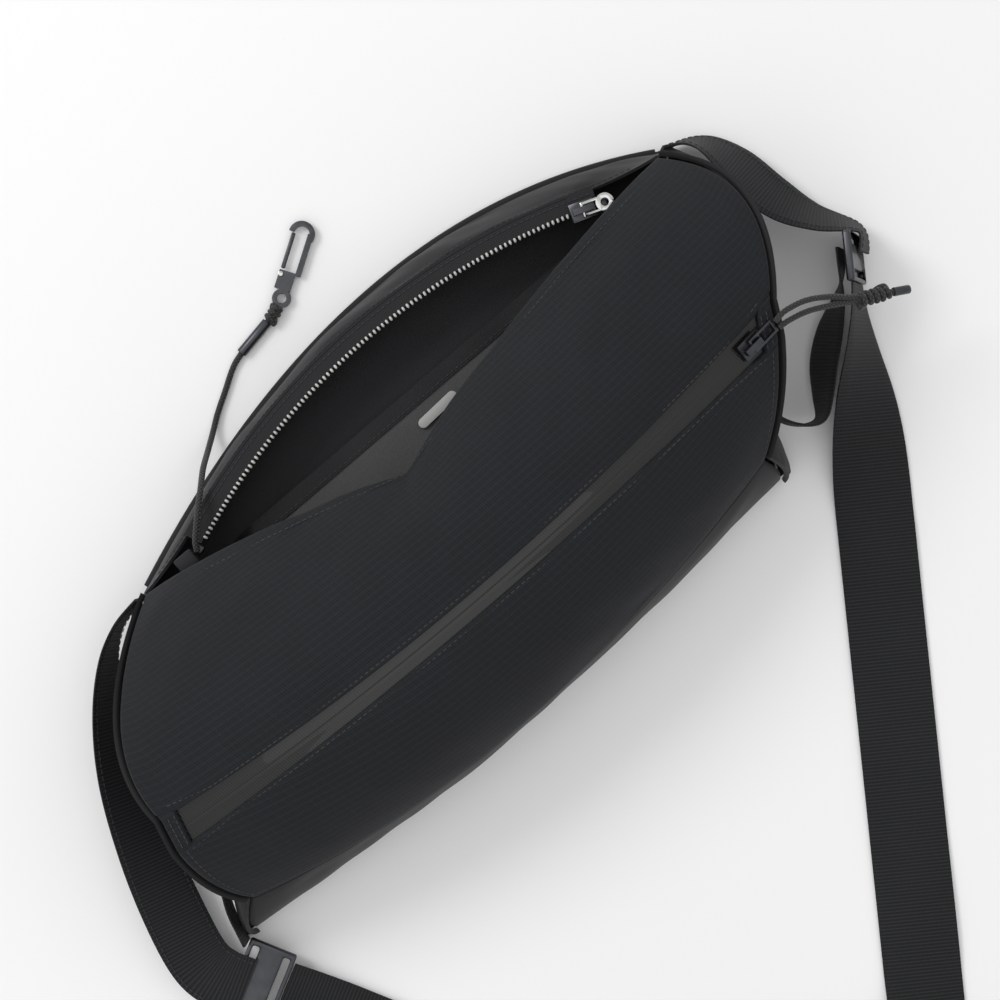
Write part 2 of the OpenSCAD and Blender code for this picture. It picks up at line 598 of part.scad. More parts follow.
back_panel();
back_foam();
back_lining();
bottom_panel();
front_lower_panel();
front_upper_panel();
side_panel_left();
side_panel_right();
rear_band();
rim_piping();
main_tape_rear();
main_teeth_rear();
main_tape_front();
main_teeth_front();
main_stop_left();
main_stop_right();
main_slider();
main_pull();
front_zip_tape();
front_zip_coil();
zip_garage_left();
zip_garage_right();
front_slider();
front_pull_tab();
pull_cord();
pull_knot();
pull_end_tube();
pocket_divider();
slip_pocket();
slip_pocket_binding();
label_plate();
leash_anchor();
leash_cord();
leash_crimp();
leash_knot();
clip_body();
clip_gate();
clip_pin();
wing_left();
wing_right();
lower_web_left();
lower_web_right();
buckle_left();
buckle_right();
strap_end_left();
strap_end_right();
shoulder_strap();
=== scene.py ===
import math

import bmesh
import bpy
import numpy as np
from mathutils import Matrix, Vector


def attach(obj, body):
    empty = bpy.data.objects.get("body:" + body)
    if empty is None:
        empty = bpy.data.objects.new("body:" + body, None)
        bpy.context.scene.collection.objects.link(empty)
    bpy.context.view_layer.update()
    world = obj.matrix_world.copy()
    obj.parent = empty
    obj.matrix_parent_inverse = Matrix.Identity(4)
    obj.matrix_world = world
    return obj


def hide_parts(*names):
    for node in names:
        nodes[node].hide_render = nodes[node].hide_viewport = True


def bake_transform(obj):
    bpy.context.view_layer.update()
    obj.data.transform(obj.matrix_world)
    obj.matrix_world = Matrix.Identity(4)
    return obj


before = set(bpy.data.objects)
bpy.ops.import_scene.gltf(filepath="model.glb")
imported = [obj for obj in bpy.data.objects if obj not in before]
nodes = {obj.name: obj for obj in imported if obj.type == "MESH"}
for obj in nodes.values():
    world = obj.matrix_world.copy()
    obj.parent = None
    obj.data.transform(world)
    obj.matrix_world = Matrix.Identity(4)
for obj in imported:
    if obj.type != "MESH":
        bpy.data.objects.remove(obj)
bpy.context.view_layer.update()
mm = 0.001
print("frame loaded with", len(nodes), "nodes")


def linearColour(hexCode):
    parts = [int(hexCode[i:i + 2], 16) / 255 for i in (0, 2, 4)]
    return tuple([c / 12.92 if c <= 0.04045 else ((c + 0.055) / 1.055) ** 2.4 for c in parts] + [1.0])


def addNode(tree, kind, settings=None, inputs=None):
    made = tree.nodes.new(kind)
    for key, value in (settings or {}).items():
        setattr(made, key, value)
    for key, value in (inputs or {}).items():
        if isinstance(value, bpy.types.NodeSocket):
            tree.links.new(value, made.inputs[key])
        else:
            made.inputs[key].default_value = value
    return made


def newMaterial(name, roughness, metallic=0.0, sheen=0.0, coat=0.0, shine=0.5):
    made = bpy.data.materials.new(name)
    made.use_nodes = True
    shader = made.node_tree.nodes["Principled BSDF"]
    shader.inputs["Roughness"].default_value = roughness
    shader.inputs["Metallic"].default_value = metallic
    shader.inputs["Sheen Weight"].default_value = sheen
    shader.inputs["Sheen Roughness"].default_value = 0.45
    shader.inputs["Coat Weight"].default_value = coat
    shader.inputs["Specular IOR Level"].default_value = shine
    return made, made.node_tree, shader


def lineAcross(tree, coordinate, pitch, sharpness):
    # 1 on each thread, 0 between threads
    turns = addNode(tree, "ShaderNodeMath", {"operation": "MULTIPLY"}, {0: coordinate, 1: 2 * math.pi / pitch})
    wave = addNode(tree, "ShaderNodeMath", {"operation": "SINE"}, {0: turns.outputs[0]})
    lifted = addNode(tree, "ShaderNodeMath", {"operation": "MULTIPLY_ADD"}, {0: wave.outputs[0], 1: 0.5, 2: 0.5})
    return addNode(tree, "ShaderNodeMath", {"operation": "POWER"}, {0: lifted.outputs[0], 1: sharpness}).outputs[0]


def mixAmounts(tree, first, firstAmount, second, secondAmount):
    a = addNode(tree, "ShaderNodeMath", {"operation": "MULTIPLY"}, {0: first, 1: firstAmount})
    return addNode(tree, "ShaderNodeMath", {"operation": "MULTIPLY_ADD"},
        {0: second, 1: secondAmount, 2: a.outputs[0]}).outputs[0]


def colourBetween(tree, amount, dark, light):
    ramp = addNode(tree, "ShaderNodeMix", {"data_type": "RGBA", "clamp_factor": True}, {0: amount})
    ramp.inputs[6].default_value = linearColour(dark)
    ramp.inputs[7].default_value = linearColour(light)
    return ramp.outputs[2]


def wovenCloth(name, dark, light, lines, roughness, sheen, depth, mottle=0.35, coat=0.0):
    # lines: (0 across or 1 along the piece's own map, pitch in mm, sharpness, weight)
    made, tree, shader = newMaterial(name, roughness, sheen=sheen, coat=coat, shine=0.3)
    place = addNode(tree, "ShaderNodeUVMap", {"uv_map": "weave"})
    split = addNode(tree, "ShaderNodeSeparateXYZ", None, {0: place.outputs[0]})
    total = None
    for axis, pitch, sharpness, weight in lines:
        line = lineAcross(tree, split.outputs[axis], pitch, sharpness)
        if total is None:
            total = addNode(tree, "ShaderNodeMath", {"operation": "MULTIPLY"}, {0: line, 1: weight}).outputs[0]
        else:
            total = addNode(tree, "ShaderNodeMath", {"operation": "MULTIPLY_ADD"},
                {0: line, 1: weight, 2: total}).outputs[0]
    where = addNode(tree, "ShaderNodeTexCoord").outputs["Object"]
    cloud = addNode(tree, "ShaderNodeTexNoise", None, {"Vector": where, "Scale": 900.0, "Detail": 3.0}).outputs[0]
    wear = addNode(tree, "ShaderNodeTexNoise", None, {"Vector": where, "Scale": 26.0, "Detail": 2.0}).outputs[0]
    grain = mixAmounts(tree, cloud, mottle, wear, 0.25)
    both = addNode(tree, "ShaderNodeMath", {"operation": "ADD"}, {0: total, 1: grain}).outputs[0]
    shift = addNode(tree, "ShaderNodeMath", {"operation": "SUBTRACT"},
        {0: both, 1: 0.5 * (mottle + 0.25)}).outputs[0]
    tree.links.new(colourBetween(tree, shift, dark, light), shader.inputs["Base Color"])
    height = mixAmounts(tree, total, 1.0, cloud, 0.4)
    bump = addNode(tree, "ShaderNodeBump", None, {"Strength": 0.8, "Distance": depth * mm, "Height": height})
    tree.links.new(bump.outputs[0], shader.inputs["Normal"])
    return made


def platedMetal(name, base, roughness, grit):
    made, tree, shader = newMaterial(name, roughness, metallic=1.0)
    where = addNode(tree, "ShaderNodeTexCoord").outputs["Object"]
    cloud = addNode(tree, "ShaderNodeTexNoise", None, {"Vector": where, "Scale": 160.0, "Detail": 4.0}).outputs[0]
    fine = addNode(tree, "ShaderNodeTexNoise", None, {"Vector": where, "Scale": 1000 / grit,
        "Detail": 2.0}).outputs[0]
    tree.links.new(colourBetween(tree, cloud, base[0], base[1]), shader.inputs["Base Color"])
    worn = addNode(tree, "ShaderNodeMapRange", None, {0: cloud, 3: roughness * 0.8, 4: roughness * 1.3}).outputs[0]
    tree.links.new(worn, shader.inputs["Roughness"])
    bump = addNode(tree, "ShaderNodeBump", None, {"Strength": 0.25, "Distance": 0.05 * mm, "Height": fine})
    tree.links.new(bump.outputs[0], shader.inputs["Normal"])
    return made


def plainPlastic(name, base, roughness, grit, depth):
    made, tree, shader = newMaterial(name, roughness)
    where = addNode(tree, "ShaderNodeTexCoord").outputs["Object"]
    fine = addNode(tree, "ShaderNodeTexNoise", None, {"Vector": where, "Scale": 1000 / grit,
        "Detail": 3.0}).outputs[0]
    cloud = addNode(tree, "ShaderNodeTexNoise", None, {"Vector": where, "Scale": 40.0, "Detail": 2.0}).outputs[0]
    tree.links.new(colourBetween(tree, cloud, base[0], base[1]), shader.inputs["Base Color"])
    bump = addNode(tree, "ShaderNodeBump", None, {"Strength": 0.5, "Distance": depth * mm, "Height": fine})
    tree.links.new(bump.outputs[0], shader.inputs["Normal"])
    return made


finishes = {
    # recycled polyester ripstop: matt, a fine grid of threads with a thicker thread every 3.5 mm
    "ripstop": wovenCloth("ripstopPolyester", "0e0f12", "212429",
        [(1, 3.5, 5.0, 0.3), (1, 1.17, 1.5, 0.3), (0, 1.3, 1.5, 0.28), (0, 3.9, 8.0, 0.12)], 0.82, 0.05, 0.12),
    # smooth-faced polyester on the sides and the rear band: fine weave, a little sheen
    "softshell": wovenCloth("smoothPolyester", "0e0f11", "1b1c1f",
        [(0, 0.9, 1.0, 0.3), (1, 0.9, 1.0, 0.3)], 0.68, 0.08, 0.05),
    # nylon webbing: raised weft ribs 1.7 mm apart, drawn at their real pitch; the lighter colour on the rib crests
    # is painted highlight, the random mottle over it is the webbing's own tone
    "webbing": wovenCloth("ribbedNylonWebbing", "0a0a0b", "2c2e31",
        [(1, 1.7, 2.2, 0.62), (0, 0.95, 1.2, 0.16)], 0.74, 0.05, 0.3, mottle=0.3),
    # polyurethane-coated zip tape: semi-gloss with fine ribs across its length
    "coated": wovenCloth("polyurethaneCoatedTape", "0a0b09", "191a17",
        [(0, 1.3, 1.4, 0.5)], 0.34, 0.0, 0.12, mottle=0.2, coat=0.45),
    # plain-weave polyester lining
    "lining": wovenCloth("plainWeaveLining", "191a1c", "2c2d30", [(0, 1.0, 1.0, 0.3), (1, 1.0, 1.0, 0.3)], 0.7,
        0.15, 0.05),
    # brushed tricot of the slip pocket: soft, fuzzy, mid grey
    "tricot": wovenCloth("brushedTricot", "4a4a4b", "606061", [(0, 1.6, 1.0, 0.12)], 0.95, 0.5, 0.12, mottle=0.8),
    # woven binding tape
    "tape": wovenCloth("wovenBindingTape", "121214", "2a2b2e", [(0, 1.1, 1.2, 0.35), (1, 1.1, 1.2, 0.25)], 0.66,
        0.15, 0.1),
    # satin facing tape inside the mouth's front edge
    "facing": wovenCloth("satinFacingTape", "57595a", "83858a", [(0, 1.2, 1.0, 0.25)], 0.42, 0.2, 0.05),
    # braided polyester cord: two sets of strands crossing, with painted highlight on the strand crowns and painted
    # shade between them
    "braid": None,
    # closed-cell foam behind the back panel
    "foam": plainPlastic("closedCellFoam", ("2b2c2e", "38393b"), 0.9, 0.9, 0.2),
    # gunmetal-plated zinc: satin grey metal
    "gunmetal": platedMetal("gunmetalPlatedZinc", ("3d3e41", "57585c"), 0.34, 0.4),
    # bright nickel-plated steel
    "nickel": platedMetal("brightNickelSteel", ("b4b4b2", "dcdcda"), 0.16, 0.3),
    # moulded acetal teeth
    "acetal": plainPlastic("mouldedAcetal", ("aeafab", "cfcfcb"), 0.35, 0.5, 0.02),
    # heat-cut end of stiff tape under the mouth
    "stub": plainPlastic("heatCutTape", ("131315", "232427"), 0.8, 0.6, 0.15),
    # soft moulded label, blank
    "vinyl": plainPlastic("softVinylLabel", ("9d9e9b", "b2b3b0"), 0.5, 0.5, 0.03),
    # twisted polyester thread
    "thread": plainPlastic("polyesterThread", ("1d1f22", "34363a"), 0.7, 0.25, 0.1),
}


def braidedCord(name, dark, light, pitch, turns):
    made, tree, shader = newMaterial(name, 0.62, sheen=0.15)
    place = addNode(tree, "ShaderNodeUVMap", {"uv_map": "weave"})
    split = addNode(tree, "ShaderNodeSeparateXYZ", None, {0: place.outputs[0]})
    rows = []
    for hand in (1, -1):
        slant = addNode(tree, "ShaderNodeMath", {"operation": "MULTIPLY_ADD"},
            {0: split.outputs[0], 1: hand * turns, 2: split.outputs[1]})
        rows.append(lineAcross(tree, slant.outputs[0], pitch, 1.0))
    strand = addNode(tree, "ShaderNodeMath", {"operation": "MULTIPLY"}, {0: rows[0], 1: rows[1]}).outputs[0]
    # lighter strand crowns and darker gaps between strands are painted highlight and painted shade
    tree.links.new(colourBetween(tree, strand, dark, light), shader.inputs["Base Color"])
    bump = addNode(tree, "ShaderNodeBump", None, {"Strength": 1.0, "Distance": 0.4 * mm, "Height": strand})
    tree.links.new(bump.outputs[0], shader.inputs["Normal"])
    return made


finishes["braid"] = braidedCord("braidedPolyesterCord", "0c0c0c", "3d3d3a", 1.9, 1.0)
print("materials made")


bag = {
    "backHalfLen": 168.0, "shoulderY": 61.0, "crownY": 103.0, "footY": 98.0, "footBow": 6.0,
    "bodyDepth": 104.0, "endDepth": 84.0, "lean": 0.387, "zipHalfLen": 183.0, "zipW": 18.0, "zipY": 45.0,
    "mouthY": 22.0, "sideBulge": 5.0, "sagShift": 0.085, "backZ": 1.9,
}
half = bag["zipW"] / 2
midKnots = np.array([
    [-bag["footY"] - bag["footBow"], bag["backZ"]],
    [-bag["footY"] - bag["footBow"] + 1, bag["bodyDepth"] - 46],
    [-bag["zipY"] - half, bag["bodyDepth"] - 1],
    [-bag["zipY"] + half, bag["bodyDepth"]],
    [bag["mouthY"], bag["bodyDepth"] - 36]])
midPulls = np.array([
    [-bag["footY"] - bag["footBow"] - 6, bag["bodyDepth"] * 0.29],
    [-bag["footY"] + 10, bag["bodyDepth"] - 7],
    [-bag["zipY"], bag["bodyDepth"]],
    [bag["mouthY"] - 16, bag["bodyDepth"] + 3]])
endKnots = np.array([
    [bag["backHalfLen"], -bag["footY"], bag["backZ"]],
    [bag["backHalfLen"] - 10, -bag["footY"] + 15, bag["endDepth"] - 30],
    [bag["zipHalfLen"] - 1, -bag["zipY"] + 2, bag["endDepth"] - 2],
    [bag["zipHalfLen"] + 1, -bag["zipY"] + half + 8, bag["endDepth"]],
    [bag["backHalfLen"] - 8, 58, bag["endDepth"] - 46]])
endPulls = np.array([
    [bag["backHalfLen"] + 3, -bag["footY"] + 1, bag["endDepth"] - 54],
    [bag["zipHalfLen"] - 8, -bag["footY"] + 30, bag["endDepth"] - 10],
    [bag["zipHalfLen"], -bag["zipY"] + half, bag["endDepth"] - 1],
    [bag["zipHalfLen"] + 24, 20, bag["endDepth"]]])


def mixed(a, b, t):
    return a + (b - a) * t


def eased(t):
    t = np.clip(t, 0, 1)
    return t * t * (3 - 2 * t)


def profileAt(knots, pulls, v):
    k = np.clip(np.floor(v), 0, 3).astype(int)
    t = (v - k)[..., None]
    return knots[k] * (1 - t) ** 2 + pulls[k] * 2 * t * (1 - t) + knots[k + 1] * t * t


def bodyAt(u, v):
    u, v = np.broadcast_arrays(np.asarray(u, float), np.asarray(v, float))
    m, e = profileAt(midKnots, midPulls, v), profileAt(endKnots, endPulls, v)
    w = np.clip(v - 3, 0, 1)
    dip = 1 - (1 - np.minimum(1, np.abs(u + bag["sagShift"] * (1 - u * u)))) ** 1.4
    y = mixed(m[..., 0], e[..., 1], mixed(u * u, dip, w))
    z = mixed(m[..., 1], e[..., 2], mixed(u * u, np.abs(u) ** 3, w))
    return np.stack([u * e[..., 0] + bag["lean"] * y, y, z], -1)


def spaced(x, y, z):
    return np.stack(np.broadcast_arrays(x, y, z), -1)


def unit(a):
    return a / np.maximum(np.linalg.norm(a, axis=-1, keepdims=True), 1e-9)


def bodyNormal(u, v, step=0.02):
    a = bodyAt(np.minimum(1, u + step), v) - bodyAt(np.maximum(-1, u - step), v)
    b = bodyAt(u, np.minimum(4, v + step)) - bodyAt(u, np.maximum(0, v - step))
    return unit(np.cross(a, b))


def sideAt(s, v, w):
    e = profileAt(endKnots, endPulls, v)
    foot = spaced(bag["backHalfLen"], mixed(-bag["footY"], bag["shoulderY"] - 3, v / 4), bag["backZ"])
    p = mixed(e, foot, w[..., None])
    out = s * (p[..., 0] + bag["sideBulge"] * np.sin(np.pi * w))
    return spaced(out + bag["lean"] * p[..., 1], p[..., 1], p[..., 2])


def ripple(a, b, length, seed):
    # a soft, even mix of waves of about one length, from -1 to 1
    dice = np.random.default_rng(seed)
    total = np.zeros_like(a)
    for wave in range(9):
        turn = dice.uniform(0, math.pi)
        k = 2 * math.pi / (length * dice.uniform(0.7, 1.5))
        phase = dice.uniform(0, 2 * math.pi)
        total = total + np.sin(k * (a * math.cos(turn) + b * math.sin(turn)) + phase)
    return total / 4.2


def runLength(points, axis):
    steps = np.linalg.norm(np.diff(points, axis=axis), axis=-1)
    zero = np.zeros_like(np.take(steps, [0], axis=axis))
    return np.cumsum(np.concatenate([zero, steps], axis=axis), axis=axis)


def makeObject(name, points, faces, weave=None, finish=None, sharp=40):
    mesh = bpy.data.meshes.new(name)
    mesh.from_pydata((np.asarray(points, float) * mm).tolist(), [], [list(map(int, f)) for f in faces])
    if weave is not None:
        layer = mesh.uv_layers.new(name="weave")
        corners = np.zeros(len(mesh.loops), int)
        mesh.loops.foreach_get("vertex_index", corners)
        layer.data.foreach_set("uv", np.asarray(weave, float)[corners].astype(np.float32).ravel())
    made = bpy.data.objects.new(name, mesh)
    bpy.context.scene.collection.objects.link(made)
    smoothOut(made, sharp)
    if finish:
        mesh.materials.append(finishes[finish])
    return made


def smoothOut(made, sharp=40):
    made.data.polygons.foreach_set("use_smooth", np.ones(len(made.data.polygons), bool))
    made.data.set_sharp_from_angle(angle=math.radians(sharp))
    made.data.update()


def slabObject(name, top, low, weave, finish, flip=False):
    # a closed sheet between two grids
    rows, cols = top.shape[:2]
    n = rows * cols
    index = np.arange(n).reshape(rows, cols)
    a, b, c, d = index[:-1, :-1].ravel(), index[1:, :-1].ravel(), index[1:, 1:].ravel(), index[:-1, 1:].ravel()
    up = np.stack([a, b, c, d], 1)
    down = up[:, ::-1] + n
    ring = np.concatenate([index[:-1, 0], index[-1, :-1], index[1:, -1][::-1], index[0, 1:][::-1]])
    after = np.roll(ring, -1)
    walls = np.stack([ring, ring + n, after + n, after], 1)
    faces = np.concatenate([up, down, walls])
    if flip:
        faces = faces[:, ::-1]
    points = np.concatenate([top.reshape(-1, 3), low.reshape(-1, 3)])
    points[:, 2] = np.maximum(points[:, 2], 0.1)  # nothing sinks into the floor
    flatWeave = np.concatenate([weave.reshape(-1, 2), weave.reshape(-1, 2)])
    return makeObject(name, points, faces, flatWeave, finish, sharp=60)


def edgeRoll(distance, radius):
    inside = np.clip(1 - distance / radius, 0, 1)
    return radius * (1 - np.sqrt(1 - inside ** 2))


def bodyPanel(name, uSpan, vSpan, grid, finish, thick, above, folds, roll=2.0, extra=None):
    # either end of vSpan is a number or a function of u
    nu, nv = grid
    u, f = np.meshgrid(np.linspace(uSpan[0], uSpan[1], nu), np.linspace(0, 1, nv), indexing="ij")
    v0, v1 = [edge(u) if callable(edge) else np.full_like(u, edge) for edge in vSpan]
    v = mixed(v0, v1, f)
    base = bodyAt(u, v)
    along, across = runLength(base, 0), runLength(base, 1)
    fromEnds = np.minimum(along, along[-1:] - along)
    fromSeams = np.minimum(across, across[:, -1:] - across)
    sink = edgeRoll(fromEnds, roll) * 0.8 + edgeRoll(fromSeams, roll) * 0.8 - above
    calm = eased(fromSeams / 14) * eased(fromEnds / 14)
    for length, height, seed in folds:
        sink = sink - ripple(along, across, length, seed) * height * (0.25 + 0.75 * calm)
    if extra is not None:
        sink = sink + extra(u, v, along, across)
    normal = bodyNormal(u, v)
    top = base - normal * sink[..., None]
    low = top - normal * thick
    weave = np.stack([base[..., 0] + 0.16 * across, across], -1)
    return slabObject(name, top, low, weave, finish)


def curveThrough(route, steps):
    route = np.asarray(route, float)
    n = len(route)
    out = []
    for i in range((n - 1) * steps + 1):
        s = i / steps
        k = min(n - 2, int(s))
        f = s - k
        a, b, c, d = route[max(0, k - 1)], route[k], route[k + 1], route[min(n - 1, k + 2)]
        square, cube = 2 * a - 5 * b + 4 * c - d, 3 * b - a - 3 * c + d
        out.append(0.5 * (2 * b + (c - a) * f + square * f * f + cube * f ** 3))
    return np.array(out)


webbing = {"width": 38.0, "thick": 1.6, "wing": 30.0, "low": 26.0}


def webbingBand(name, sections, width, steps=14, wave=0.25, seed=5):
    # flat webbing along sections [x, y, z, tilt], level at tilt 0 and upright at 90
    thick, cols = webbing["thick"], 13
    path = curveThrough(sections, steps)
    p, tilt = path[:, :3].copy(), np.radians(path[:, 3])
    p[:, 2] = np.maximum(p[:, 2], width / 2 * np.abs(np.sin(tilt)) + thick / 2 * np.abs(np.cos(tilt)) + 0.3)
    flow = np.gradient(p, axis=0)
    flatRun = unit(flow * np.array([1, 1, 0]))
    level = np.stack([flatRun[:, 1], -flatRun[:, 0], np.zeros(len(p))], 1)
    across = level * np.cos(tilt)[:, None] + np.array([0, 0, 1]) * np.sin(tilt)[:, None]
    out = unit(np.cross(across, unit(flow)))
    far = runLength(p, 0)
    ts = np.linspace(-1, 1, cols)
    rim = 1 - 0.55 * np.clip((np.abs(ts) - 0.93) / 0.07, 0, 1) ** 2
    ribs = ripple(far[:, None] * np.ones(cols), ts[None] * width / 2, 55, seed) * wave
    up = p[:, None] + across[:, None] * ts[None, :, None] * width / 2 + out[:,
        None] * (thick / 2 * rim[None] + ribs)[..., None]
    low = up - out[:, None] * (thick * rim)[None, :, None]
    weave = np.stack(np.broadcast_arrays(ts * width / 2, far[:, None]), -1)
    return slabObject(name, up, low, weave, "webbing", flip=True), p, across, out


def cordTube(name, path, diameter, finish, sides=14):
    path = np.asarray(path, float)
    flow = unit(np.gradient(path, axis=0))
    side = unit(np.cross(flow[0], [0.1, 0.2, 1]))
    rings = []
    for i, t in enumerate(flow):
        side = unit(side - t * np.dot(side, t))
        other = np.cross(t, side)
        turn = np.arange(sides) * 2 * math.pi / sides
        rings.append(path[i] + (np.cos(turn)[:, None] * side + np.sin(turn)[:, None] * other) * diameter / 2)
    far = runLength(path, 0)
    n = len(path)
    points = np.concatenate(rings + [path[:1], path[-1:]])
    points[:, 2] = np.maximum(points[:, 2], 0.1)
    turnMm = np.minimum(np.arange(sides), sides - np.arange(sides)) * math.pi * diameter / sides
    weave = np.concatenate([np.stack([turnMm, np.full(sides, far[i])], 1) for i in range(n)] + [[[0, far[0]]],
        [[0, far[-1]]]])
    faces = []
    for i in range(n - 1):
        for j in range(sides):
            a, b = i * sides + j, i * sides + (j + 1) % sides
            faces.append((a, b, b + sides, a + sides))
    for j in range(sides):
        faces.append((n * sides, (j + 1) % sides, j))
        faces.append((n * sides + 1, (n - 1) * sides + j, (n - 1) * sides + (j + 1) % sides))
    return makeObject(name, points, faces, weave, finish)


def bevelledCopy(node, name, finish, width, body, slotName, segments=2):
    source = nodes[node]
    mesh = source.data.copy()
    mesh.transform(source.matrix_world)
    work = bmesh.new()
    work.from_mesh(mesh)
    bmesh.ops.remove_doubles(work, verts=work.verts, dist=1e-6)
    bmesh.ops.dissolve_limit(work, angle_limit=math.radians(1), verts=work.verts, edges=work.edges)
    work.to_mesh(mesh)
    work.free()
    rough = bpy.data.objects.new(name + "Rough", mesh)
    bpy.context.scene.collection.objects.link(rough)
    soften = rough.modifiers.new("bevel", "BEVEL")
    soften.width, soften.segments = width * mm, segments
    soften.limit_method, soften.angle_limit = "ANGLE", math.radians(35)
    bpy.context.view_layer.update()
    done = bpy.data.meshes.new_from_object(rough.evaluated_get(bpy.context.evaluated_depsgraph_get()))
    bpy.data.objects.remove(rough)
    done.materials.clear()
    done.materials.append(finishes[finish])
    made = bpy.data.objects.new(name, done)
    bpy.context.scene.collection.objects.link(made)
    smoothOut(made, 30)
    return place(made, body, slotName, node)


def place(made, body, slotName, *stands):
    if stands:
        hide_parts(*stands)
    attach(made, body)
    return made


def capsule(name, length, width, height, around=8, rings=4):
    faces = []
    lats = np.linspace(-math.pi / 2, math.pi / 2, rings + 2)[1:-1]
    points = [(-length / 2, 0, 0)]
    for a in lats:
        for j in range(around):
            b = 2 * math.pi * j / around
            girth = math.cos(a) ** 0.6
            points.append((length / 2 * math.sin(a), width / 2 * girth * math.cos(b),
                height / 2 * girth * math.sin(b)))
    points.append((length / 2, 0, 0))
    last = len(points) - 1
    for i in range(rings - 1):
        for j in range(around):
            a, b = 1 + i * around + j, 1 + i * around + (j + 1) % around
            faces.append((a, a + around, b + around, b)[::-1])
    for j in range(around):
        faces.append((0, 1 + j, 1 + (j + 1) % around)[::-1])
        base = 1 + (rings - 1) * around
        faces.append((last, base + (j + 1) % around, base + j)[::-1])
    return makeObject(name, points, faces)


def repeatAlong(name, piece, spots, runs, ups, finish, size=1.0, vary=0.06, seed=11):
    # one piece set on every spot, turned to its run, by a node tree
    carrier = bpy.data.meshes.new(name + "Spots")
    carrier.from_pydata((np.asarray(spots) * mm).tolist(), [], [])
    for key, values in (("run", runs), ("rise", ups)):
        layer = carrier.attributes.new(key, "FLOAT_VECTOR", "POINT")
        layer.data.foreach_set("vector", np.asarray(values, np.float32).ravel())
    holder = bpy.data.objects.new(name + "Holder", carrier)
    bpy.context.scene.collection.objects.link(holder)
    tree = bpy.data.node_groups.new(name + "Tree", "GeometryNodeTree")
    sockets = {}
    for label, way, kind in (("Geometry", "INPUT", "NodeSocketGeometry"), ("Piece", "INPUT", "NodeSocketObject"),
                             ("Size", "INPUT", "NodeSocketFloat"), ("Vary", "INPUT", "NodeSocketFloat"),
                             ("Seed", "INPUT", "NodeSocketInt"), ("Finish", "INPUT", "NodeSocketMaterial"),
                             ("Geometry", "OUTPUT", "NodeSocketGeometry")):
        made = tree.interface.new_socket(name=label, in_out=way, socket_type=kind)
        if way == "INPUT":
            sockets[label] = made.identifier
    start = addNode(tree, "NodeGroupInput")
    run = addNode(tree, "GeometryNodeInputNamedAttribute", {"data_type": "FLOAT_VECTOR"}, {"Name": "run"})
    rise = addNode(tree, "GeometryNodeInputNamedAttribute", {"data_type": "FLOAT_VECTOR"}, {"Name": "rise"})
    turned = addNode(tree, "FunctionNodeAlignRotationToVector", {"axis": "X"}, {"Vector": run.outputs[0]})
    rolled = addNode(tree, "FunctionNodeAlignRotationToVector", {"axis": "Z", "pivot_axis": "X"},
                     {"Rotation": turned.outputs[0], "Vector": rise.outputs[0]})
    less = addNode(tree, "ShaderNodeMath", {"operation": "SUBTRACT"},
        {0: start.outputs["Size"], 1: start.outputs["Vary"]})
    more = addNode(tree, "ShaderNodeMath", {"operation": "ADD"},
        {0: start.outputs["Size"], 1: start.outputs["Vary"]})
    chance = addNode(tree, "FunctionNodeRandomValue", {"data_type": "FLOAT"})
    tree.links.new(less.outputs[0], chance.inputs[2])
    tree.links.new(more.outputs[0], chance.inputs[3])
    tree.links.new(start.outputs["Seed"], chance.inputs["Seed"])
    shape = addNode(tree, "GeometryNodeObjectInfo", None, {0: start.outputs["Piece"]})
    each = addNode(tree, "GeometryNodeInstanceOnPoints", None, {"Points": start.outputs["Geometry"],
                   "Instance": shape.outputs["Geometry"], "Rotation": rolled.outputs[0], "Scale": chance.outputs[1]})
    real = addNode(tree, "GeometryNodeRealizeInstances", None, {0: each.outputs[0]})
    coloured = addNode(tree, "GeometryNodeSetMaterial", None, {"Geometry": real.outputs[0],
        "Material": start.outputs["Finish"]})
    addNode(tree, "NodeGroupOutput", None, {0: coloured.outputs[0]})
    modifier = holder.modifiers.new("repeat", "NODES")
    modifier.node_group = tree
    modifier[sockets["Piece"]] = piece
    modifier[sockets["Size"]] = size
    modifier[sockets["Vary"]] = vary
    modifier[sockets["Seed"]] = seed
    modifier[sockets["Finish"]] = finishes[finish]
    bpy.context.view_layer.update()
    mesh = bpy.data.meshes.new_from_object(holder.evaluated_get(bpy.context.evaluated_depsgraph_get()))
    bpy.data.objects.remove(holder)
    bpy.data.objects.remove(piece)
    made = bpy.data.objects.new(name, mesh)
    bpy.context.scene.collection.objects.link(made)
    smoothOut(made, 50)
    return made


def evenSpots(points, ups, pitch):
    points, ups = np.asarray(points, float), np.asarray(ups, float)
    far = runLength(points, 0)
    marks = np.arange(far[0], far[-1], pitch)
    spots = np.stack([np.interp(marks, far, points[:, i]) for i in range(3)], 1)
    rises = unit(np.stack([np.interp(marks, far, ups[:, i]) for i in range(3)], 1))
    ahead, behind = [np.stack([np.interp(marks + d, far, points[:, i]) for i in range(3)], 1) for d in (0.5, -0.5)]
    runs = unit(ahead - behind)
    return spots, runs, rises


stitchRows = []


def stitchRow(points, ups, pitch=3.1, above=0.12):
    spots, runs, rises = evenSpots(points, ups, pitch)
    stitchRows.append((spots + rises * above, runs, rises))


def bodyRow(u, v, above, **more):
    u, v = np.broadcast_arrays(np.asarray(u, float), np.asarray(v, float))
    normal = bodyNormal(u, v)
    stitchRow(bodyAt(u, v) + normal * above, normal, **more)


shell = {"thick": 1.4, "end": 0.997}


def upperLip(u):
    # the pocket zip shows about 10 mm wide in the middle and 17 mm at its ends
    return mixed(2.76, 3.035, np.abs(u) ** 2.2)


def lowerLip(u):
    return mixed(2.22, 1.975, np.abs(u) ** 2.2)


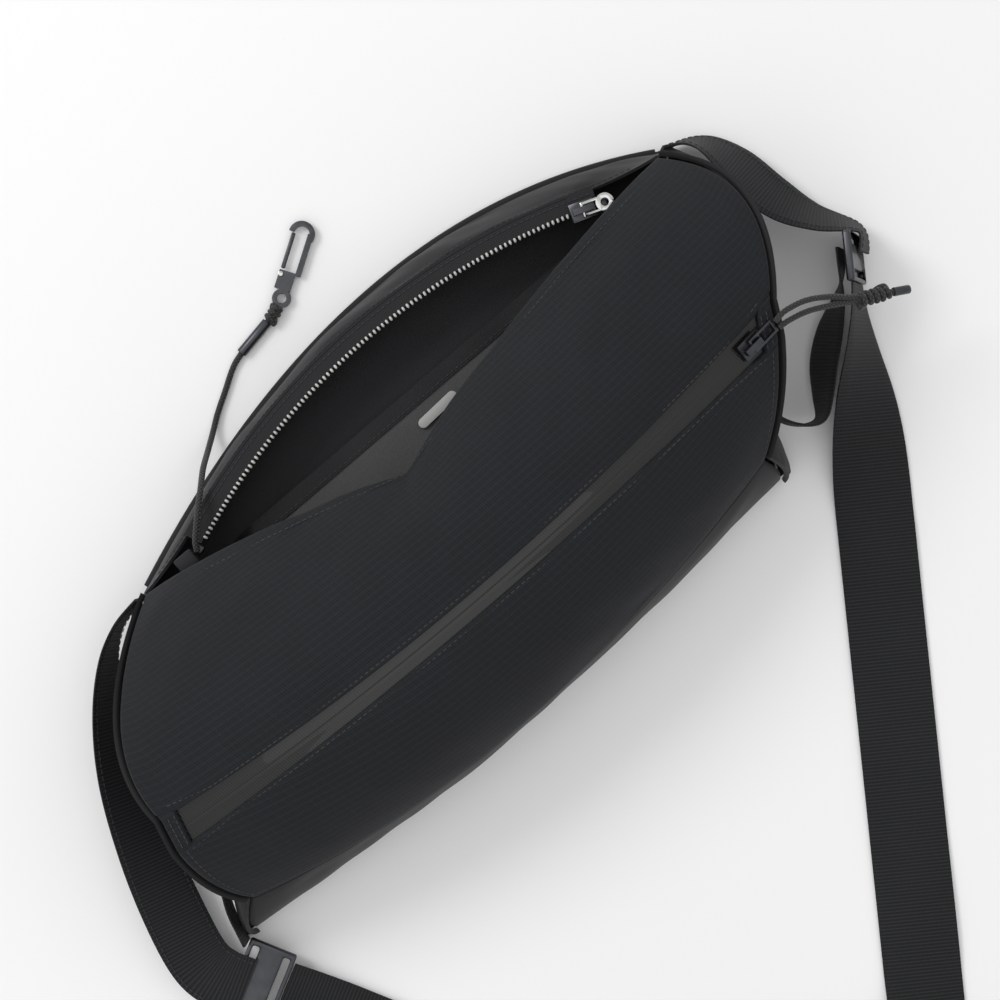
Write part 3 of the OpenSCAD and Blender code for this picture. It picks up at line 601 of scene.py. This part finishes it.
def sagFolds(u, v, along, across):
    # soft channels that run from the sag in the mouth's edge down the front
    w = eased((v - 3.25) / 0.75)
    dent = 1.6 * np.exp(-((u + 0.1 - 0.10 * (4 - v)) / 0.10) ** 2) - 1.0 * np.exp(-((u - 0.14) / 0.10) ** 2)
    pull = 0.9 * np.exp(-((u + 0.42 + 0.1 * (4 - v)) / 0.07) ** 2)
    return (dent + pull) * w


frontUpper = bodyPanel("frontUpper", (-shell["end"], shell["end"]), (upperLip, 4.0), (300, 110), "ripstop",
    shell["thick"], 1.0,
                       [(70, 0.55, 3), (24, 0.16, 4)], roll=1.6, extra=sagFolds)
place(frontUpper, "bag", "shell_fabric", "front_upper_panel")
frontLower = bodyPanel("frontLower", (-shell["end"], shell["end"]), (1.0, lowerLip), (300, 60), "ripstop",
    shell["thick"], 0.8,
                       [(60, 0.5, 6), (22, 0.16, 7)], roll=1.8)
place(frontLower, "bag", "shell_fabric", "front_lower_panel")
bottomBand = bodyPanel("bottomBand", (-shell["end"], shell["end"]), (0.0, 0.995), (260, 50), "softshell",
    shell["thick"], 0.0,
                       [(80, 0.7, 9), (30, 0.25, 10)], roll=1.8)
place(bottomBand, "bag", "shell_fabric", "bottom_panel")

for hand, label in ((-1, "left"), (1, "right")):
    v, w = np.meshgrid(np.linspace(0.02, 4.0, 120), np.linspace(0.012, 0.992, 50), indexing="ij")
    base = sideAt(hand, v, w)
    down, around = runLength(base, 1), runLength(base, 0)
    normal = unit(np.cross(np.gradient(base, axis=0), np.gradient(base, axis=1))) * hand
    edge = np.minimum(down, down[:, -1:] - down)
    slack = ripple(around, down, 46, 20 + hand) * 0.7 * eased(edge / 12)
    crease = ripple(around, down, 17, 30 + hand) * 0.2 * eased(edge / 8)
    dip = edgeRoll(edge, 1.6) - slack - crease
    top = base - normal * dip[..., None]
    weave = np.stack([around, down], -1)
    panel = slabObject("side" + label.capitalize(), top, top - normal * shell["thick"], weave, "softshell",
        flip=hand < 0)
    place(panel, "bag", "shell_fabric", "side_panel_" + label)
    stitchRow((base[:, 5] + normal[:, 5] * 0.1)[4:-3], normal[4:-3, 5], pitch=3.4)

# rear band from the rim up to the rear tape, closed into the side panels at its ends
mainZip = {"centre": (22.0, -257.0), "radius": 340.0, "span": 43.0, "z": 35.0, "tapeW": 9.0}
rimRadius = 2.6


def rimAt(u):
    y = bag["shoulderY"] + (bag["crownY"] - 2 - bag["shoulderY"]) * (1 - u * u)
    return spaced((bag["backHalfLen"] - 3) * u + bag["lean"] * y, y, 1.8 + rimRadius)


def tapeAt(u):
    reach = mainZip["radius"] + mainZip["tapeW"] - 0.6
    turn = np.radians(90 - mainZip["span"] / 2 * u * 1.12)
    drop = np.maximum(0, np.abs(u) - 0.8) * 40
    return spaced(mainZip["centre"][0] + reach * np.cos(turn), mainZip["centre"][1] + reach * np.sin(turn),
                  mainZip["z"] + 0.5 - drop)


u, f = np.meshgrid(np.linspace(-1, 1, 240), np.linspace(0, 1, 36), indexing="ij")
foot, head = rimAt(u) + np.array([0, 0, 1.2]), tapeAt(u)
crest = (foot + head) / 2 + np.array([0, 3, 5])
g = f[..., None]
band = foot * (1 - g) ** 2 + crest * 2 * g * (1 - g) + head * g * g
cornerLow = spaced(np.sign(u) * 168 + bag["lean"] * 58, 59.5, 4.0)
cornerTop = spaced(np.sign(u) * 160 + bag["lean"] * 58, 59.5, 37.0)
blendIn = eased((np.abs(u) - 0.86) / 0.14)[..., None]
band = mixed(band, mixed(cornerLow, cornerTop, g), blendIn)
normal = unit(np.cross(np.gradient(band, axis=0), np.gradient(band, axis=1)))
normal = normal * np.where(np.mean(normal[..., 1] + normal[..., 2]) > 0, 1, -1)
along, across = runLength(band, 0), runLength(band, 1)
edge = np.minimum(across, across[:, -1:] - across)
slack = ripple(along, across, 60, 41) * 0.9 + ripple(along, across, 22, 42) * 0.25
top = band + normal * slack[..., None] * eased(edge / 8)[..., None]
direction = np.cross(np.gradient(band, axis=0)[120, 18], np.gradient(band, axis=1)[120, 18])
rearBand = slabObject("rearBand", top, top - normal * 1.4, np.stack([along, across], -1), "softshell",
    flip=float(direction @ normal[120, 18]) < 0)
place(rearBand, "bag", "shell_fabric", "rear_band")
stitchRow((band + normal * 0.2)[8:-8, 31], normal[8:-8, 31])

rim = cordTube("rimPiping", rimAt(np.linspace(-0.985, 0.985, 160)), 2 * rimRadius, "softshell", sides=16)
place(rim, "bag", "shell_fabric", "rim_piping")

# the back panel, its foam pad and the lining over it
back = {"inset": 7.0, "foamLow": 1.7, "foamTop": 6.3, "liningZ": 6.9}


def backGrid(inset, rows, cols):
    u, f = np.meshgrid(np.linspace(-1, 1, rows), np.linspace(0, 1, cols), indexing="ij")
    low = -bag["footY"] + inset - bag["footBow"] * (1 - u * u)
    high = bag["shoulderY"] - inset / 2 + (bag["crownY"] - bag["shoulderY"] - inset / 2) * (1 - u * u)
    y = mixed(low, high, f)
    return np.stack([(bag["backHalfLen"] - inset) * u + bag["lean"] * y, y], -1), u, f


def flatSheet(name, inset, lowZ, topZ, finish, wrinkle, seed, rows=150, cols=90):
    flat, u, f = backGrid(inset, rows, cols)
    edge = np.minimum(1 - np.abs(u), np.minimum(f, 1 - f) * 1.2) * 90
    rise = ripple(flat[..., 0], flat[..., 1], 45, seed) * wrinkle * eased(edge / 20) - edgeRoll(edge, 2.0) * 0.4
    top = np.concatenate([flat, (topZ + rise)[..., None]], -1)
    low = np.concatenate([flat, np.full_like(rise, lowZ)[..., None]], -1)
    return slabObject(name, top, low, flat.copy(), finish)


backPanel = flatSheet("backPanel", 0.0, 0.05, 1.5, "softshell", 0.0, 1)
place(backPanel, "bag", "shell_fabric", "back_panel")

foamFlat = backGrid(back["inset"] + 1.5, 70, 44)[0]
foamFaces = [spaced(foamFlat[..., 0], foamFlat[..., 1], z) for z in (back["foamTop"] - 1.0, back["foamLow"])]
foamStart = slabObject("backFoamStart", *foamFaces, foamFlat.copy(), "foam")


def puffed(start, name, voxel, pressure, cap, lowZ, topZ):
    # cloth pressure rounds the pad, then every point is held within a small cap
    blank = start.data.copy()
    work = bpy.data.objects.new(name + "Work", blank)
    bpy.context.scene.collection.objects.link(work)
    remesh = work.modifiers.new("remesh", "REMESH")
    remesh.mode, remesh.voxel_size = "VOXEL", voxel * mm
    bpy.context.view_layer.update()
    even = bpy.data.meshes.new_from_object(work.evaluated_get(bpy.context.evaluated_depsgraph_get()))
    work.modifiers.clear()
    work.data = even
    rest = np.array([p.co for p in even.vertices])
    moved = rest.copy()
    cloth = work.modifiers.new("cloth", "CLOTH")
    cloth.settings.use_pressure = True
    cloth.settings.uniform_pressure_force = pressure
    cloth.settings.effector_weights.gravity = 0
    scene = bpy.context.scene
    for step in range(1, 21):
        scene.frame_set(step)
    swollen = work.evaluated_get(bpy.context.evaluated_depsgraph_get()).to_mesh()
    moved = np.array([p.co for p in swollen.vertices])
    work.modifiers.clear()
    scene.frame_set(1)
    shift = moved - rest
    size = np.linalg.norm(shift, axis=1, keepdims=True)
    moved = rest + shift * np.minimum(1, cap * mm / np.maximum(size, 1e-9))
    moved[:, 2] = np.clip(moved[:, 2], lowZ * mm, topZ * mm)
    even.vertices.foreach_set("co", moved.ravel())
    even.update()
    fine = work.modifiers.new("fine", "SUBSURF")
    fine.levels = fine.render_levels = 1
    bpy.context.view_layer.update()
    done = bpy.data.meshes.new_from_object(work.evaluated_get(bpy.context.evaluated_depsgraph_get()))
    bpy.data.objects.remove(work)
    bpy.data.objects.remove(start)
    done.materials.clear()
    done.materials.append(finishes["foam"])
    made = bpy.data.objects.new(name, done)
    bpy.context.scene.collection.objects.link(made)
    smoothOut(made, 60)
    return made


backFoam = puffed(foamStart, "backFoamPad", 2.2, 4.0, 1.2, back["foamLow"], back["foamTop"])
place(backFoam, "bag", "foam", "back_foam")
backLining = flatSheet("backLining", back["inset"] - 4.0, back["liningZ"] - 0.4, back["liningZ"] + 0.5, "lining",
    0.35, 8)
place(backLining, "bag", "lining", "back_lining")
print("shell and back made")


def zipArc(radius, z, turns):
    turns = np.radians(turns)
    return spaced(mainZip["centre"][0] + radius * np.cos(turns), mainZip["centre"][1] + radius * np.sin(turns), z)


def arcBand(name, r0, r1, z, thick, finish, a0, a1, rows=200, cols=9):
    turns = np.linspace(a0, a1, rows)
    rs = np.linspace(r0, r1, cols)
    top = np.stack([zipArc(r, z + thick / 2, turns) for r in rs], 1)
    low = np.stack([zipArc(r, z - thick / 2, turns) for r in rs], 1)
    far = runLength(top, 0)
    weave = np.stack([far, np.broadcast_to(rs - r0, far.shape)], -1)
    return slabObject(name, top, low, weave, finish, flip=True)


leftTurn, rightTurn = 90 + mainZip["span"] / 2, 90 - mainZip["span"] / 2
rearTape = arcBand("rearTape", mainZip["radius"] + 0.6, mainZip["radius"] + mainZip["tapeW"] + 0.6,
    mainZip["z"] - 0.1, 0.8, "tape", rightTurn + 0.1, leftTurn - 0.1)
place(rearTape, "bag", "binding_tape", "main_tape_rear")
turns = np.linspace(rightTurn + 0.6, leftTurn - 0.6, 200)
upward = np.tile([0, 0, 1.0], (200, 1))
stitchRow(zipArc(mainZip["radius"] + 6.4, mainZip["z"] + 0.45, turns), upward)
tooth = {"length": 1.35, "width": 2.6, "height": 2.0, "pitch": 2.5}
rearRow = evenSpots(zipArc(mainZip["radius"], mainZip["z"], turns), upward, tooth["pitch"])


def teethAlong(name, node, row):
    shape = capsule(name + "Tooth", tooth["length"], tooth["width"], tooth["height"])
    place(repeatAlong(name, shape, *row, "acetal", vary=0.03), "bag", "zip_teeth", node)


teethAlong("rearTeeth", "main_teeth_rear", rearRow)

edgeU = np.linspace(-0.84, 0.84, 220)
frontTape = bodyPanel("frontTape", (-0.84, 0.84), (3.86, 3.985), (220, 8), "tape", 0.7, -2.3, [], roll=0.3)
place(frontTape, "bag", "binding_tape", "main_tape_front")
facing = bodyPanel("mouthFacing", (0.10, 0.80), (3.93, 4.0), (160, 8), "facing", 0.35, -1.75, [], roll=0.2)
place(facing, "bag", "binding_tape")
frontNormal = bodyNormal(edgeU, np.full_like(edgeU, 3.97))
frontRow = evenSpots(bodyAt(edgeU, 3.97) - frontNormal * 4.4, frontNormal, tooth["pitch"])
teethAlong("frontTeeth", "main_teeth_front", frontRow)
bodyRow(np.linspace(-0.93, 0.93, 260), 3.94, 0.75)

for node, name in (("main_stop_left", "zipStopLeft"), ("main_stop_right", "zipStopRight")):
    bevelledCopy(node, name, "gunmetal", 0.7, "bag", "gunmetal")
bevelledCopy("main_slider", "mouthSlider", "gunmetal", 0.7, "main_zip_slider", "gunmetal")
bevelledCopy("main_pull", "mouthPull", "nickel", 0.35, "main_zip_pull", "nickel")


zipEnd, zipMid = bodyAt(1.0, 2.5), bodyAt(0.0, 2.5)
zipSag = np.array([0, zipMid[1] - zipEnd[1], zipMid[2] - zipEnd[2]])
arcRadius = (bag["zipHalfLen"] ** 2 + zipSag @ zipSag) / (2 * np.linalg.norm(zipSag))
arcUp = unit(zipSag)
arcCentre = zipMid - arcUp * arcRadius
arcTilt = math.atan2(-arcUp[1], arcUp[2])
sliderTurn = math.asin(bag["zipHalfLen"] * 0.925 / arcRadius)
sliderPlace = (Matrix.Translation(Vector(arcCentre)) @ Matrix.Rotation(arcTilt, 4,
    "X") @ Matrix.Rotation(sliderTurn, 4, "Y")
               @ Matrix.Translation((0, 0, arcRadius)) @ Matrix.Rotation(math.pi / 2, 4, "Z"))
sliderMatrix = np.array(sliderPlace)


def onSlider(points):
    points = np.asarray(points, float)
    return points @ sliderMatrix[:3, :3].T + sliderMatrix[:3, 3]


def closingLine(u, v, along, across):
    return 0.3 * np.exp(-((v - 2.5) / 0.03) ** 2) - 0.25 * np.exp(-((v - 2.5) / 0.16) ** 2)


pocketTape = bodyPanel("pocketTape", (-0.97, 0.97), (1.9, 3.1), (320, 52), "coated", 0.8, -1.9, [(90, 0.25, 12)],
    roll=0.4, extra=closingLine)
place(pocketTape, "bag", "coated_tape", "front_zip_tape")
coilU = np.linspace(-0.925, 0.925, 260)
coilNormal = bodyNormal(coilU, np.full_like(coilU, 2.5))
spots, runs, rises = evenSpots(bodyAt(coilU, 2.5) - coilNormal * 3.7, coilNormal, 1.6)
pocketCoil = repeatAlong("pocketCoil", capsule("coilTurn", 1.0, 4.6, 1.9), spots, runs, rises, "coated", vary=0.02)
place(pocketCoil, "bag", "coated_tape", "front_zip_coil")
for hand, label in ((-1, "left"), (1, "right")):
    span = sorted((hand * 0.950, hand * 0.995))
    tab = bodyPanel("zipGarage" + label.capitalize(), span, (1.96, 3.045), (26, 44), "ripstop", 1.3, 0.9, [],
        roll=1.4)
    place(tab, "bag", "shell_fabric", "zip_garage_" + label)
    bodyRow(np.full(30, hand * 0.957), np.linspace(2.08, 2.95, 30), 1.0, pitch=2.6)
    bodyRow(np.full(30, hand * 0.975), np.linspace(2.08, 2.95, 30), 1.0, pitch=2.6)
zipU = np.linspace(-0.95, 0.95, 300)
bodyRow(zipU, upperLip(zipU) + mixed(0.11, 0.03, np.abs(zipU) ** 2.2), 0.75)
bodyRow(zipU, lowerLip(zipU) - mixed(0.11, 0.045, np.abs(zipU) ** 2.2), 0.6)
bodyRow(np.linspace(-0.975, 0.975, 300), 1.075, 0.55)
bodyRow(np.full(60, -0.972), np.linspace(1.1, 1.95, 60), 0.6)
bodyRow(np.full(60, 0.972), np.linspace(1.1, 1.95, 60), 0.6)
bevelledCopy("front_slider", "pocketSlider", "gunmetal", 0.6, "pocket_zip_slider", "gunmetal")
bevelledCopy("front_pull_tab", "pocketPullTab", "gunmetal", 0.35, "pocket_zip_pull", "gunmetal")

pinZ = 0.8 + 1.2 + 1.4
pull = {"diameter": 2.7, "route": [[-1.8, -14.9, 2.6], [-2.4, -20, 3.4], [-6, -30, 3.8], [-12, -40, 4],
    [-18.2, -49, 4], [-21.8, -55, 4.2]],
        "second": [[1.7, -14.9, 2.6], [2.4, -21, 3.4], [-1.2, -32, 3.9], [-8.2, -42, 4.1], [-16.4, -50.4, 4.3],
            [-20.6, -55.6, 4.3]]}
for label, route in (("First", pull["route"]), ("Second", pull["second"])):
    path = onSlider(curveThrough(np.array(route) + [0, 0, pinZ], 10))
    strand = cordTube("pullCord" + label, path, pull["diameter"], "braid")
    place(strand, "pocket_zip_pull", "braided_cord", *(["pull_cord"] if label == "First" else []))


def windingKnot(name, start, end, coreRadius, diameter, winds, bulge):
    # a fisherman's knot: windings side by side round the axis, then a crossing strand over them
    start, end = np.asarray(start, float), np.asarray(end, float)
    axis = unit(end - start)
    side = unit(np.cross(axis, [0.05, 0.1, 1]))
    other = np.cross(axis, side)
    t = np.linspace(0, 1, 60 * winds)
    around = 2 * math.pi * winds * t
    radius = coreRadius * (1 + bulge * np.sin(math.pi * t))

    def winding(far, turn, out):
        spoke = side * np.cos(turn)[:, None] + other * np.sin(turn)[:, None]
        return start + axis * (far * np.linalg.norm(end - start))[:, None] + spoke * out[:, None]

    back = np.linspace(1, 0, 50)
    crossing = coreRadius * (1 + bulge * np.sin(math.pi * back)) + diameter * 0.55
    path = np.concatenate([winding(t, around, radius), winding(back, back * 3.4 + around[-1], crossing)])
    soft = path.copy()
    for smoothing in range(6):
        soft[1:-1] = (soft[:-2] + soft[1:-1] * 2 + soft[2:]) / 4
    return cordTube(name, soft, diameter, "braid", sides=10)


knotEnds = onSlider(np.array([[-20.4, -52.6, 4.2], [-29.2, -66.8, 4.2]]) + [0, 0, pinZ])
pullKnot = windingKnot("pullKnot", knotEnds[0], knotEnds[1], 2.1, 2.7, 5, 0.18)
place(pullKnot, "pocket_zip_pull", "braided_cord", "pull_knot")
tubeStart = onSlider(np.array([-31.6, -70.3, 4.2 + pinZ]))
core = cordTube("pullKnotCore", curveThrough([knotEnds[0], (knotEnds[0] + knotEnds[1]) / 2, knotEnds[1], tubeStart],
    8), 3.0, "braid")
place(core, "pocket_zip_pull", "braided_cord")
endTube = bevelledCopy("pull_end_tube", "pullEndTube", "gunmetal", 0.5, "pocket_zip_pull", "gunmetal")
print("zips made")


slipPocket = {"half": 112.0, "top": 52.0, "low": -62.0, "z": 15.4, "bindW": 9.0}
sx, sy = np.meshgrid(np.linspace(-1, 1, 120), np.linspace(0, 1, 70), indexing="ij")
yFlat = mixed(slipPocket["low"], slipPocket["top"], sy)
edge = np.minimum((1 - np.abs(sx)) * slipPocket["half"], sy * 114)
zFlat = 8.0 + (slipPocket["z"] - 8.0) * eased(edge / 13) + ripple(sx * 112, yFlat, 40, 51) * 0.45 * eased(edge / 20)
top = np.stack([sx * slipPocket["half"] + bag["lean"] * yFlat, yFlat, zFlat], -1)
weave = np.stack([sx * 112, yFlat], -1)
pocket = slabObject("slipPocketFront", top, top - np.array([0, 0, 1.1]), weave, "tricot")
place(pocket, "bag", "slip_felt", "slip_pocket")
topRow = (yFlat > slipPocket["top"] - slipPocket["bindW"])
keep = int(topRow[0].argmax())
bind = top[:, keep:]
binding = slabObject("slipPocketBinding", bind + np.array([0, 0.3, 0.9]), bind + np.array([0, 0.3, 0.12]),
    weave[:, keep:], "tape")
place(binding, "bag", "binding_tape", "slip_pocket_binding")
stitchRow((bind + np.array([0, 0, 0.95]))[4:-4, 1], np.tile([0, 0, 1.0], (112, 1)))
bevelledCopy("label_plate", "blankLabel", "vinyl", 0.3, "bag", "label")

du, df = np.meshgrid(np.linspace(-0.93, 0.93, 140), np.linspace(0, 1, 40), indexing="ij")
low = bodyAt(du, 1.03) - bodyNormal(du, np.full_like(du, 1.03)) * 2.3
high = bodyAt(du, 3.05) - bodyNormal(du, np.full_like(du, 3.05)) * 2.6
wall = mixed(low, high, df[..., None]) + np.array([0, 0.55, -0.83]) * 0.5
wall = wall + np.array([0, 0.3, -0.8]) * (ripple(du * 180, df * 60, 50, 61) * 0.5 + 0.5)[...,
    None] * np.sin(math.pi * df)[..., None]
divider = slabObject("pocketDivider", wall, wall + np.array([0, 0.5, -0.75]), np.stack([du * 180, df * 70], -1),
    "lining")
place(divider, "bag", "lining", "pocket_divider")


rightBuckle, rightRun = np.array([224.5, -39.0, 23.4]), np.array([-0.567, -0.824])
leftBuckle, leftRun = np.array([-225.0, -121.0, 10.0]), np.array([0.46, -0.888])


def runPoint(centre, run, far, z, tilt):
    return [centre[0] + run[0] * far, centre[1] + run[1] * far, z, tilt]


over, tilt = 3.1, 75  # the right buckle stands nearly on edge
wingLeft, pathL, acrossL, outL = webbingBand("wingLeft", [[-144, 59.9, 19.5, 90], [-160, 56.4, 20, 88],
    [-175, 46, 21, 80], [-191, 26, 22, 66],
    [-206, -2, 23, 48], [-220, -36, 21, 32], [-231, -70, 17, 16], [-236, -92, 13.6, 4], [-234, -105,
        leftBuckle[2] + over, 0],
    [-228, -117, leftBuckle[2] + over, 0]], webbing["wing"], seed=71, wave=0.2)
place(wingLeft, "bag", "webbing", "wing_left")
wingRight, pathR, acrossR, outR = webbingBand("wingRight", [[188, 60.7, 19.5, 90], [199, 56.5, 20, 80],
    [207, 47, 21, 64],
    [211.5, 30, 22, 50], [214.5, 8, 23, 46], [222.5, -11, 24, 60], [235.2, -29.4, 24.6, tilt], [229.7, -40, 24.6,
        tilt]],
    webbing["wing"] + 3, seed=72, wave=0.2)
place(wingRight, "bag", "webbing", "wing_right")
lowLeft = webbingBand("lowerWebLeft", [[-201, -70, 27, 90], [-207.5, -82, 20, 90], [-211.5, -93, 14, 90],
    [-213.4, -100.2, 12, 90]],
    webbing["low"], seed=73, wave=0.15)[0]
place(lowLeft, "bag", "webbing", "lower_web_left")
lowRight = webbingBand("lowerWebRight", [[144.3, -68.4, 28, 90], [149, -79, 25, 90], [156, -86, 23, 88],
    [163, -87, 22, 84],
    [171, -79, 21, 74], [181, -68, 20.5, 66], [193, -58, 21, 68], [205, -49.5, 22, 82], [212.8, -43, 23, 98],
    [218.8, -36, 23.4, 105], [222.2, -31, 23.4, 105]],
    webbing["low"], seed=74, wave=0.15)[0]
place(lowRight, "bag", "webbing", "lower_web_right")
for path, across, out, width in ((pathL, acrossL, outL, webbing["wing"]), (pathR, acrossR, outR, webbing["wing"])):
    for edge in (-1, 1):
        stitchRow((path + across * edge * (width / 2 - 2.2) + out * 0.85)[6:], out[6:])

bevelledCopy("buckle_left", "buckleLeft", "gunmetal", 1.1, "bag", "gunmetal", segments=3)
bevelledCopy("buckle_right", "buckleRight", "gunmetal", 1.1, "bag", "gunmetal", segments=3)

strapStart = 24 / 2 + 0.6
edgeUp = webbing["width"] / 2 + 0.6
strapRoute = [
    runPoint(rightBuckle, rightRun, strapStart, rightBuckle[2], tilt), runPoint(rightBuckle, rightRun, 27, 22.4,
        70),
    runPoint(rightBuckle, rightRun, 46, 19, 56), runPoint(rightBuckle, rightRun, 70, 12, 32),
    runPoint(rightBuckle, rightRun, 96, 5, 11), runPoint(rightBuckle, rightRun, 122, 1.2, 0),
    runPoint(rightBuckle, rightRun, 180, 1.2, 0), runPoint(rightBuckle, rightRun, 270, 1.2, 0),
    runPoint(rightBuckle, rightRun, 350, 1.2, 0), runPoint(rightBuckle, rightRun, 395, 8, 22),
    runPoint(rightBuckle, rightRun, 430, 17, 62), [-44, -428, edgeUp, 88], [-64, -444, edgeUp, 90], [-88, -444,
        edgeUp, 90],
    [-104, -426, edgeUp, 92], [-110, -400, 17, 118], [-118, -365, 8, 158], [-135, -320, 1.2, 180],
    [-158, -262, 1.2, 180], [-182, -206, 1.2, 180], runPoint(leftBuckle, leftRun, 50, 3, 180),
    runPoint(leftBuckle, leftRun, 27.2, leftBuckle[2] - 4, 180), runPoint(leftBuckle, leftRun, strapStart,
        leftBuckle[2], 180)]
strap = webbingBand("shoulderStrap", strapRoute, webbing["width"], steps=18, seed=75, wave=0.0)[0]
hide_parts("shoulder_strap", "strap_end_left", "strap_end_right")
pin = np.array([*rightBuckle[:2], 12.0]) + np.array([*rightRun, 0]) * 26.9
leftPin = np.array([*leftBuckle[:2], 6.0]) + np.array([*leftRun, 0]) * 26.9
hingeRun = unit(leftPin - pin)
away = unit(np.cross(hingeRun, [0, 0, 1]))
away = away * (-1 if away[1] > 0 else 1)
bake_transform(strap)


leash = {"diameter": 3.0, "route": [[-105.6, 58, 40.8], [-103, 62, 42], [-98, 67, 43], [-92, 73, 42.6],
    [-85, 80, 38], [-79, 87, 28],
         [-73, 93, 14], [-66, 99, 4.5], [-58, 105, 2.2], [-48, 111, 2], [-38, 117, 2], [-31, 119.5, 2.2],
         [-22, 121.2, 2.6], [-12, 122.9, 2.7], [-2.5, 124.5, 3.6]]}
bevelledCopy("leash_anchor", "leashAnchor", "stub", 0.9, "bag", "webbing")
leashPath = curveThrough(leash["route"], 8)
leashPath[:, 2] = np.maximum(leashPath[:, 2], 1.7)
leashCord = cordTube("leashCord", leashPath, leash["diameter"], "braid")
place(leashCord, "bag", "braided_cord", "leash_cord")
crimp = bevelledCopy("leash_crimp", "leashCrimp", "gunmetal", 0.5, "bag", "gunmetal")
crimpEnd = np.array([-30.2, 119.8, 2.6]) + np.array([0.985, 0.17, 0]) * 20
knotStart, knotEnd = crimpEnd + np.array([0.9, 0.2, 1.2]), crimpEnd + np.array([0.985, 0.17,
    0]) * 8.6 + np.array([0, 0, 1.2])
leashKnot = windingKnot("leashKnot", knotStart, knotEnd, 1.9, 2.4, 3, 0.2)
place(leashKnot, "bag", "braided_cord", "leash_knot")
clipBody = bevelledCopy("clip_body", "clipBody", "gunmetal", 0.9, "bag", "gunmetal", segments=3)
clipGate = bevelledCopy("clip_gate", "clipGate", "gunmetal", 0.6, "key_clip_gate", "gunmetal", segments=3)
clipPin = bevelledCopy("clip_pin", "clipPin", "nickel", 0.3, "bag", "nickel")

allStitches = [np.concatenate([row[i] for row in stitchRows]) for i in range(3)]
stitches = repeatAlong("stitches", capsule("stitch", 2.3, 0.62, 0.42), *allStitches, "thread", vary=0.05)
place(stitches, "bag", "shell_fabric")
print("webbing, leash and", len(allStitches[0]), "stitches made")


def floorFinish():
    made, tree, shader = newMaterial("matPaperFloor", 0.9)
    where = addNode(tree, "ShaderNodeTexCoord").outputs["Object"]
    cloud = addNode(tree, "ShaderNodeTexNoise", None, {"Vector": where, "Scale": 3.0, "Detail": 1.0}).outputs[0]
    tree.links.new(colourBetween(tree, cloud, "f4f4f4", "f7f7f7"), shader.inputs["Base Color"])
    return made


finishes["floor"] = floorFinish()
floor = makeObject("floor", [(-4000, -4000, 0), (4000, -4000, 0), (4000, 4000, 0), (-4000, 4000, 0)],
    [(0, 1, 2, 3)], None, "floor")

scene = bpy.context.scene
scene.view_settings.view_transform = "Standard"
world = bpy.data.worlds.new("studio")
scene.world = world
world.use_nodes = True
world.node_tree.nodes["Background"].inputs[0].default_value = (1.0, 1.0, 1.0, 1.0)
world.node_tree.nodes["Background"].inputs[1].default_value = 0.74


def softLight(name, spot, aim, size, power):
    data = bpy.data.lights.new(name, "AREA")
    data.shape, data.size, data.energy = "DISK", size, power
    made = bpy.data.objects.new(name, data)
    made.location = spot
    made.rotation_euler = (Vector(aim) - Vector(spot)).to_track_quat("-Z", "Y").to_euler()
    scene.collection.objects.link(made)
    return made


softLight("windowLight", (-0.6, 1.7, 1.8), (0, 0, 0), 1.0, 21)
softLight("topFill", (-0.3, 0.0, 2.4), (0, 0, 0), 1.8, 5)

view = bpy.data.cameras.new("view")
view.lens, view.sensor_width, view.clip_end = 95.0, 36.0, 50.0
camera = bpy.data.objects.new("camera", view)
camera.location = (0.0194, -0.0168, 1.292)
camera.rotation_euler = (0, 0, math.radians(-40.52))
scene.collection.objects.link(camera)
scene.camera = camera

print("done")
